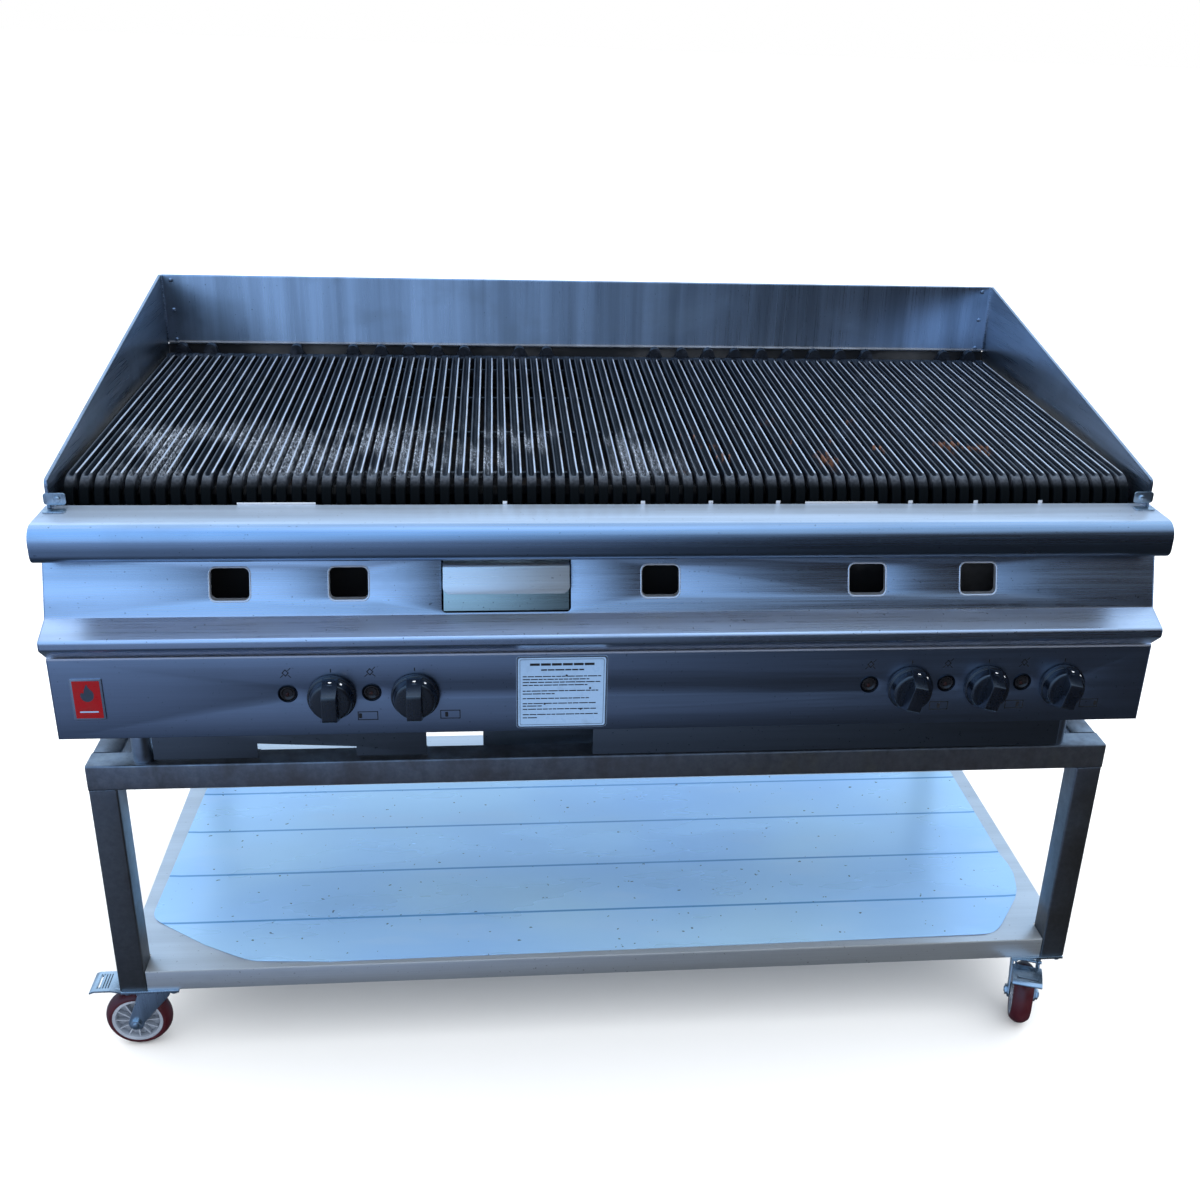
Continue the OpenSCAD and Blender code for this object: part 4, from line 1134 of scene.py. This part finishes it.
def caster(corner):
    swivel = Vector(JOINTS["caster_swivel_" + corner]["pos_m"])
    axle = Vector(JOINTS["wheel_roll_" + corner]["pos_m"])
    along = Vector((axle.x - swivel.x, axle.y - swivel.y))
    trail = along.length * 1000
    along.normalize()

    def place(x, y, z):
        return Vector((swivel.x + (x * along.x - y * along.y) / 1000,
                       swivel.y + (x * along.y + y * along.x) / 1000, z / 1000))

    fork_name = "caster_fork_" + corner
    crown, r_axle, inside, outside = 112.5, 50.0, 19, 22
    # fork: pressed legs with a rounded foot, crown and ball race
    s = Shape(place)
    leg = [(-23, crown + 2.4), (25, crown + 2.4), (26, crown - 9), (trail + 12, r_axle + 1)]
    leg += arc(trail, r_axle, 12, 0, -180, 12) + [(trail - 12, r_axle + 1), (-23, crown - 9)]
    leg = fillet(leg, 3, 3, True)
    for k in (-1, 1):
        s.prism(leg, "y", *sorted((k * inside, k * outside)))
    s.box((-24, 26), (-outside, outside), (crown, crown + 3)).bevel(0.7, 50, 2)
    s.lathe([(20, 2), (30, 2.2), (31, 3.2), (31, 5), (29.5, 6), (7, 6)], upward(0, 0, crown), 48)
    s.piece(fork_name, fork_name, "zinc", M["zinc"], fork_name)
    # axle bolt: domed head one side, nut and thread the other
    s = Shape(place)
    six = [turned(60 * k, 8.6) for k in range(6)]
    for k in (-1, 1):
        s.prism([(trail + u, r_axle + v) for u, v in six], "y", *sorted((k * outside, k * 26.5)))
    s.bevel(0.6, 40, 2)
    for k in (-1, 1):
        for profile, steps in (([(8, 22), (9.6, 22.1), (9.6, 22.9), (8, 23)], 28),
                               ([(4.8, 26), (4.8, 27.4), (3.8, 28), (0.4, 28)], 20)):
            s.lathe([(r, k * h) for r, h in profile], backward(trail, 0, r_axle), steps)
    s.piece("axle_bolt_" + corner, fork_name, "zinc", M["zinc"])
    wheel(place, trail, r_axle, "caster_wheel_" + corner)
    pedal(place, "brake_pedal_" + corner)


def wheel(place, trail, r_axle, name):
    to = backward(trail, 0, r_axle)

    def both_sides(profile):
        return profile + [(r, -h) for r, h in profile[-2::-1]]

    tread = [(38.4, -15.7), (40.4, -15.8), (41.8, -15.3), (43.4, -14), (45, -12.2), (46.6, -10),
             (48.2, -7.2), (49.5, -3.7), (50, 0)]
    s = Shape(place).lathe(both_sides(tread), to, 96, closed=True)
    s.piece(name + "_tyre", name, "tyre_red", M["tyre"])
    # hub: rim, web, boss and ribs
    s = Shape(place)
    hub = [(38.2, -15), (36.8, -15.2), (33.5, -14.4), (32.4, -12), (32, -5.5), (14, -5), (12.4, -6),
           (12, -17.2), (11.2, -17.9), (6, -17.9), (5.2, -17), (5.2, 0)]
    s.lathe(both_sides(hub), to, 96, closed=True)
    for k in range(12):
        a = math.radians(30 * k)
        for side in (-1, 1):
            rib = [(11.5, side * 15), (33, side * 12.5), (33, side * 4.6), (11.5, side * 4.6)]
            s.rings([[to(r * math.cos(a) - q * math.sin(a), r * math.sin(a) + q * math.cos(a), h)
                      for r, h in rib] for q in (-0.9, 0.9)])
    s.piece(name, name, "hub_grey", M["hub"], name)


def pedal(place, name):
    px, pz, end, half = 24, 107.5, 96, 23
    tread = fillet([(px + 20, pz + 4), (px + 40, pz + 8.5), (end - 6, pz + 8.5), (end, pz + 5.5),
                    (end, pz + 2.5), (end - 7, pz + 5.5), (px + 40, pz + 5.5), (px + 20, pz + 1)],
                   1.2, 3, True)
    s = Shape(place).prism(tread, "y", -half, half)
    slot = Shape(place).prism(round_rect(5, 28, 2, end - 13.5, 0), "z", pz - 4, pz + 20)
    s.cut(slot).bevel(0.5, 40, 2)
    s.lathe([(2.5, -24), (2.5, 24)], backward(px, 0, pz), 20)
    arms = Shape(place)
    for k in (-1, 1):
        arm = fillet([(px - 4, pz - 3), (px - 4, pz + 3), (px + 16, pz + 3.5), (px + 34, pz + 7.5),
                      (px + 34, pz + 2.5), (px + 16, pz - 3)], 2, 3, True)
        arms.prism(arm, "y", k * 16.5 - 1.2, k * 16.5 + 1.2)
    for k in range(5):
        arms.box((px + 44 + 4 * k, px + 46 + 4 * k), (-17, 17), (pz + 8, pz + 8.5))
    s.add(arms.bevel(0.25, 40)).piece(name, name, "zinc", M["zinc"], name)


# ---- CAD pieces whose shape is already right -------------------------------------------

def polished(node, slot, material, width=0.5, burnt=None):
    """A copy of a CAD piece with its sharp edges eased.

    burnt(middle, normal) may say which faces are sooty.
    """
    s = Shape()
    s.bm.from_mesh(frame["nodes"][node].data)
    bmesh.ops.remove_doubles(s.bm, verts=s.bm.verts, dist=1e-5)
    bmesh.ops.dissolve_limit(s.bm, angle_limit=math.radians(1), verts=s.bm.verts, edges=s.bm.edges)
    s.bevel(width, 40)
    if burnt:
        soot = s.bm.faces.layers.float.new("soot")
        for f in s.bm.faces:
            f[soot] = float(burnt(f.calc_center_median() - at(0, 0, 0), f.normal))
    return s.piece(node, "cabinet", slot, material, node)


def in_firebox(p, normal):
    """Firebox walls on both faces, the rear sheet only on the face towards the fire."""
    wall = abs(p.x) < 0.734 and 0.09 < p.y < 0.747 and -0.16 < p.z < -0.01
    return wall or (p.y > 0.747 and normal.y < -0.3)


def behind_the_front(p, normal):
    return p.y > 0.1


camera()
room()
nose()
fascia()
panel()
prints()
label()
badge()
splashback()
guards()
drawer()
for number in range(GRATES):
    grate(number)
for number in range(KNOBS):
    knob(number)
igniters()
stand()
shelf()
for where in CORNERS:
    caster(where)
polished("body_casing", "casing_steel", M["casing"], burnt=in_firebox)
polished("grate_rails", "rail_steel", M["rail"], burnt=behind_the_front)
for node, slot, key in (("base_tray", "casing_steel", "tray"), ("caster_plates", "zinc", "zinc"),
                        ("unit_feet", "foot_steel", "foot"), ("fasteners", "zinc", "zinc"),
                        ("burners", "burner_iron", "burner"), ("radiants", "burner_iron", "burner"),
                        ("gas_train", "brass", "brass")):
    polished(node, slot, M[key])
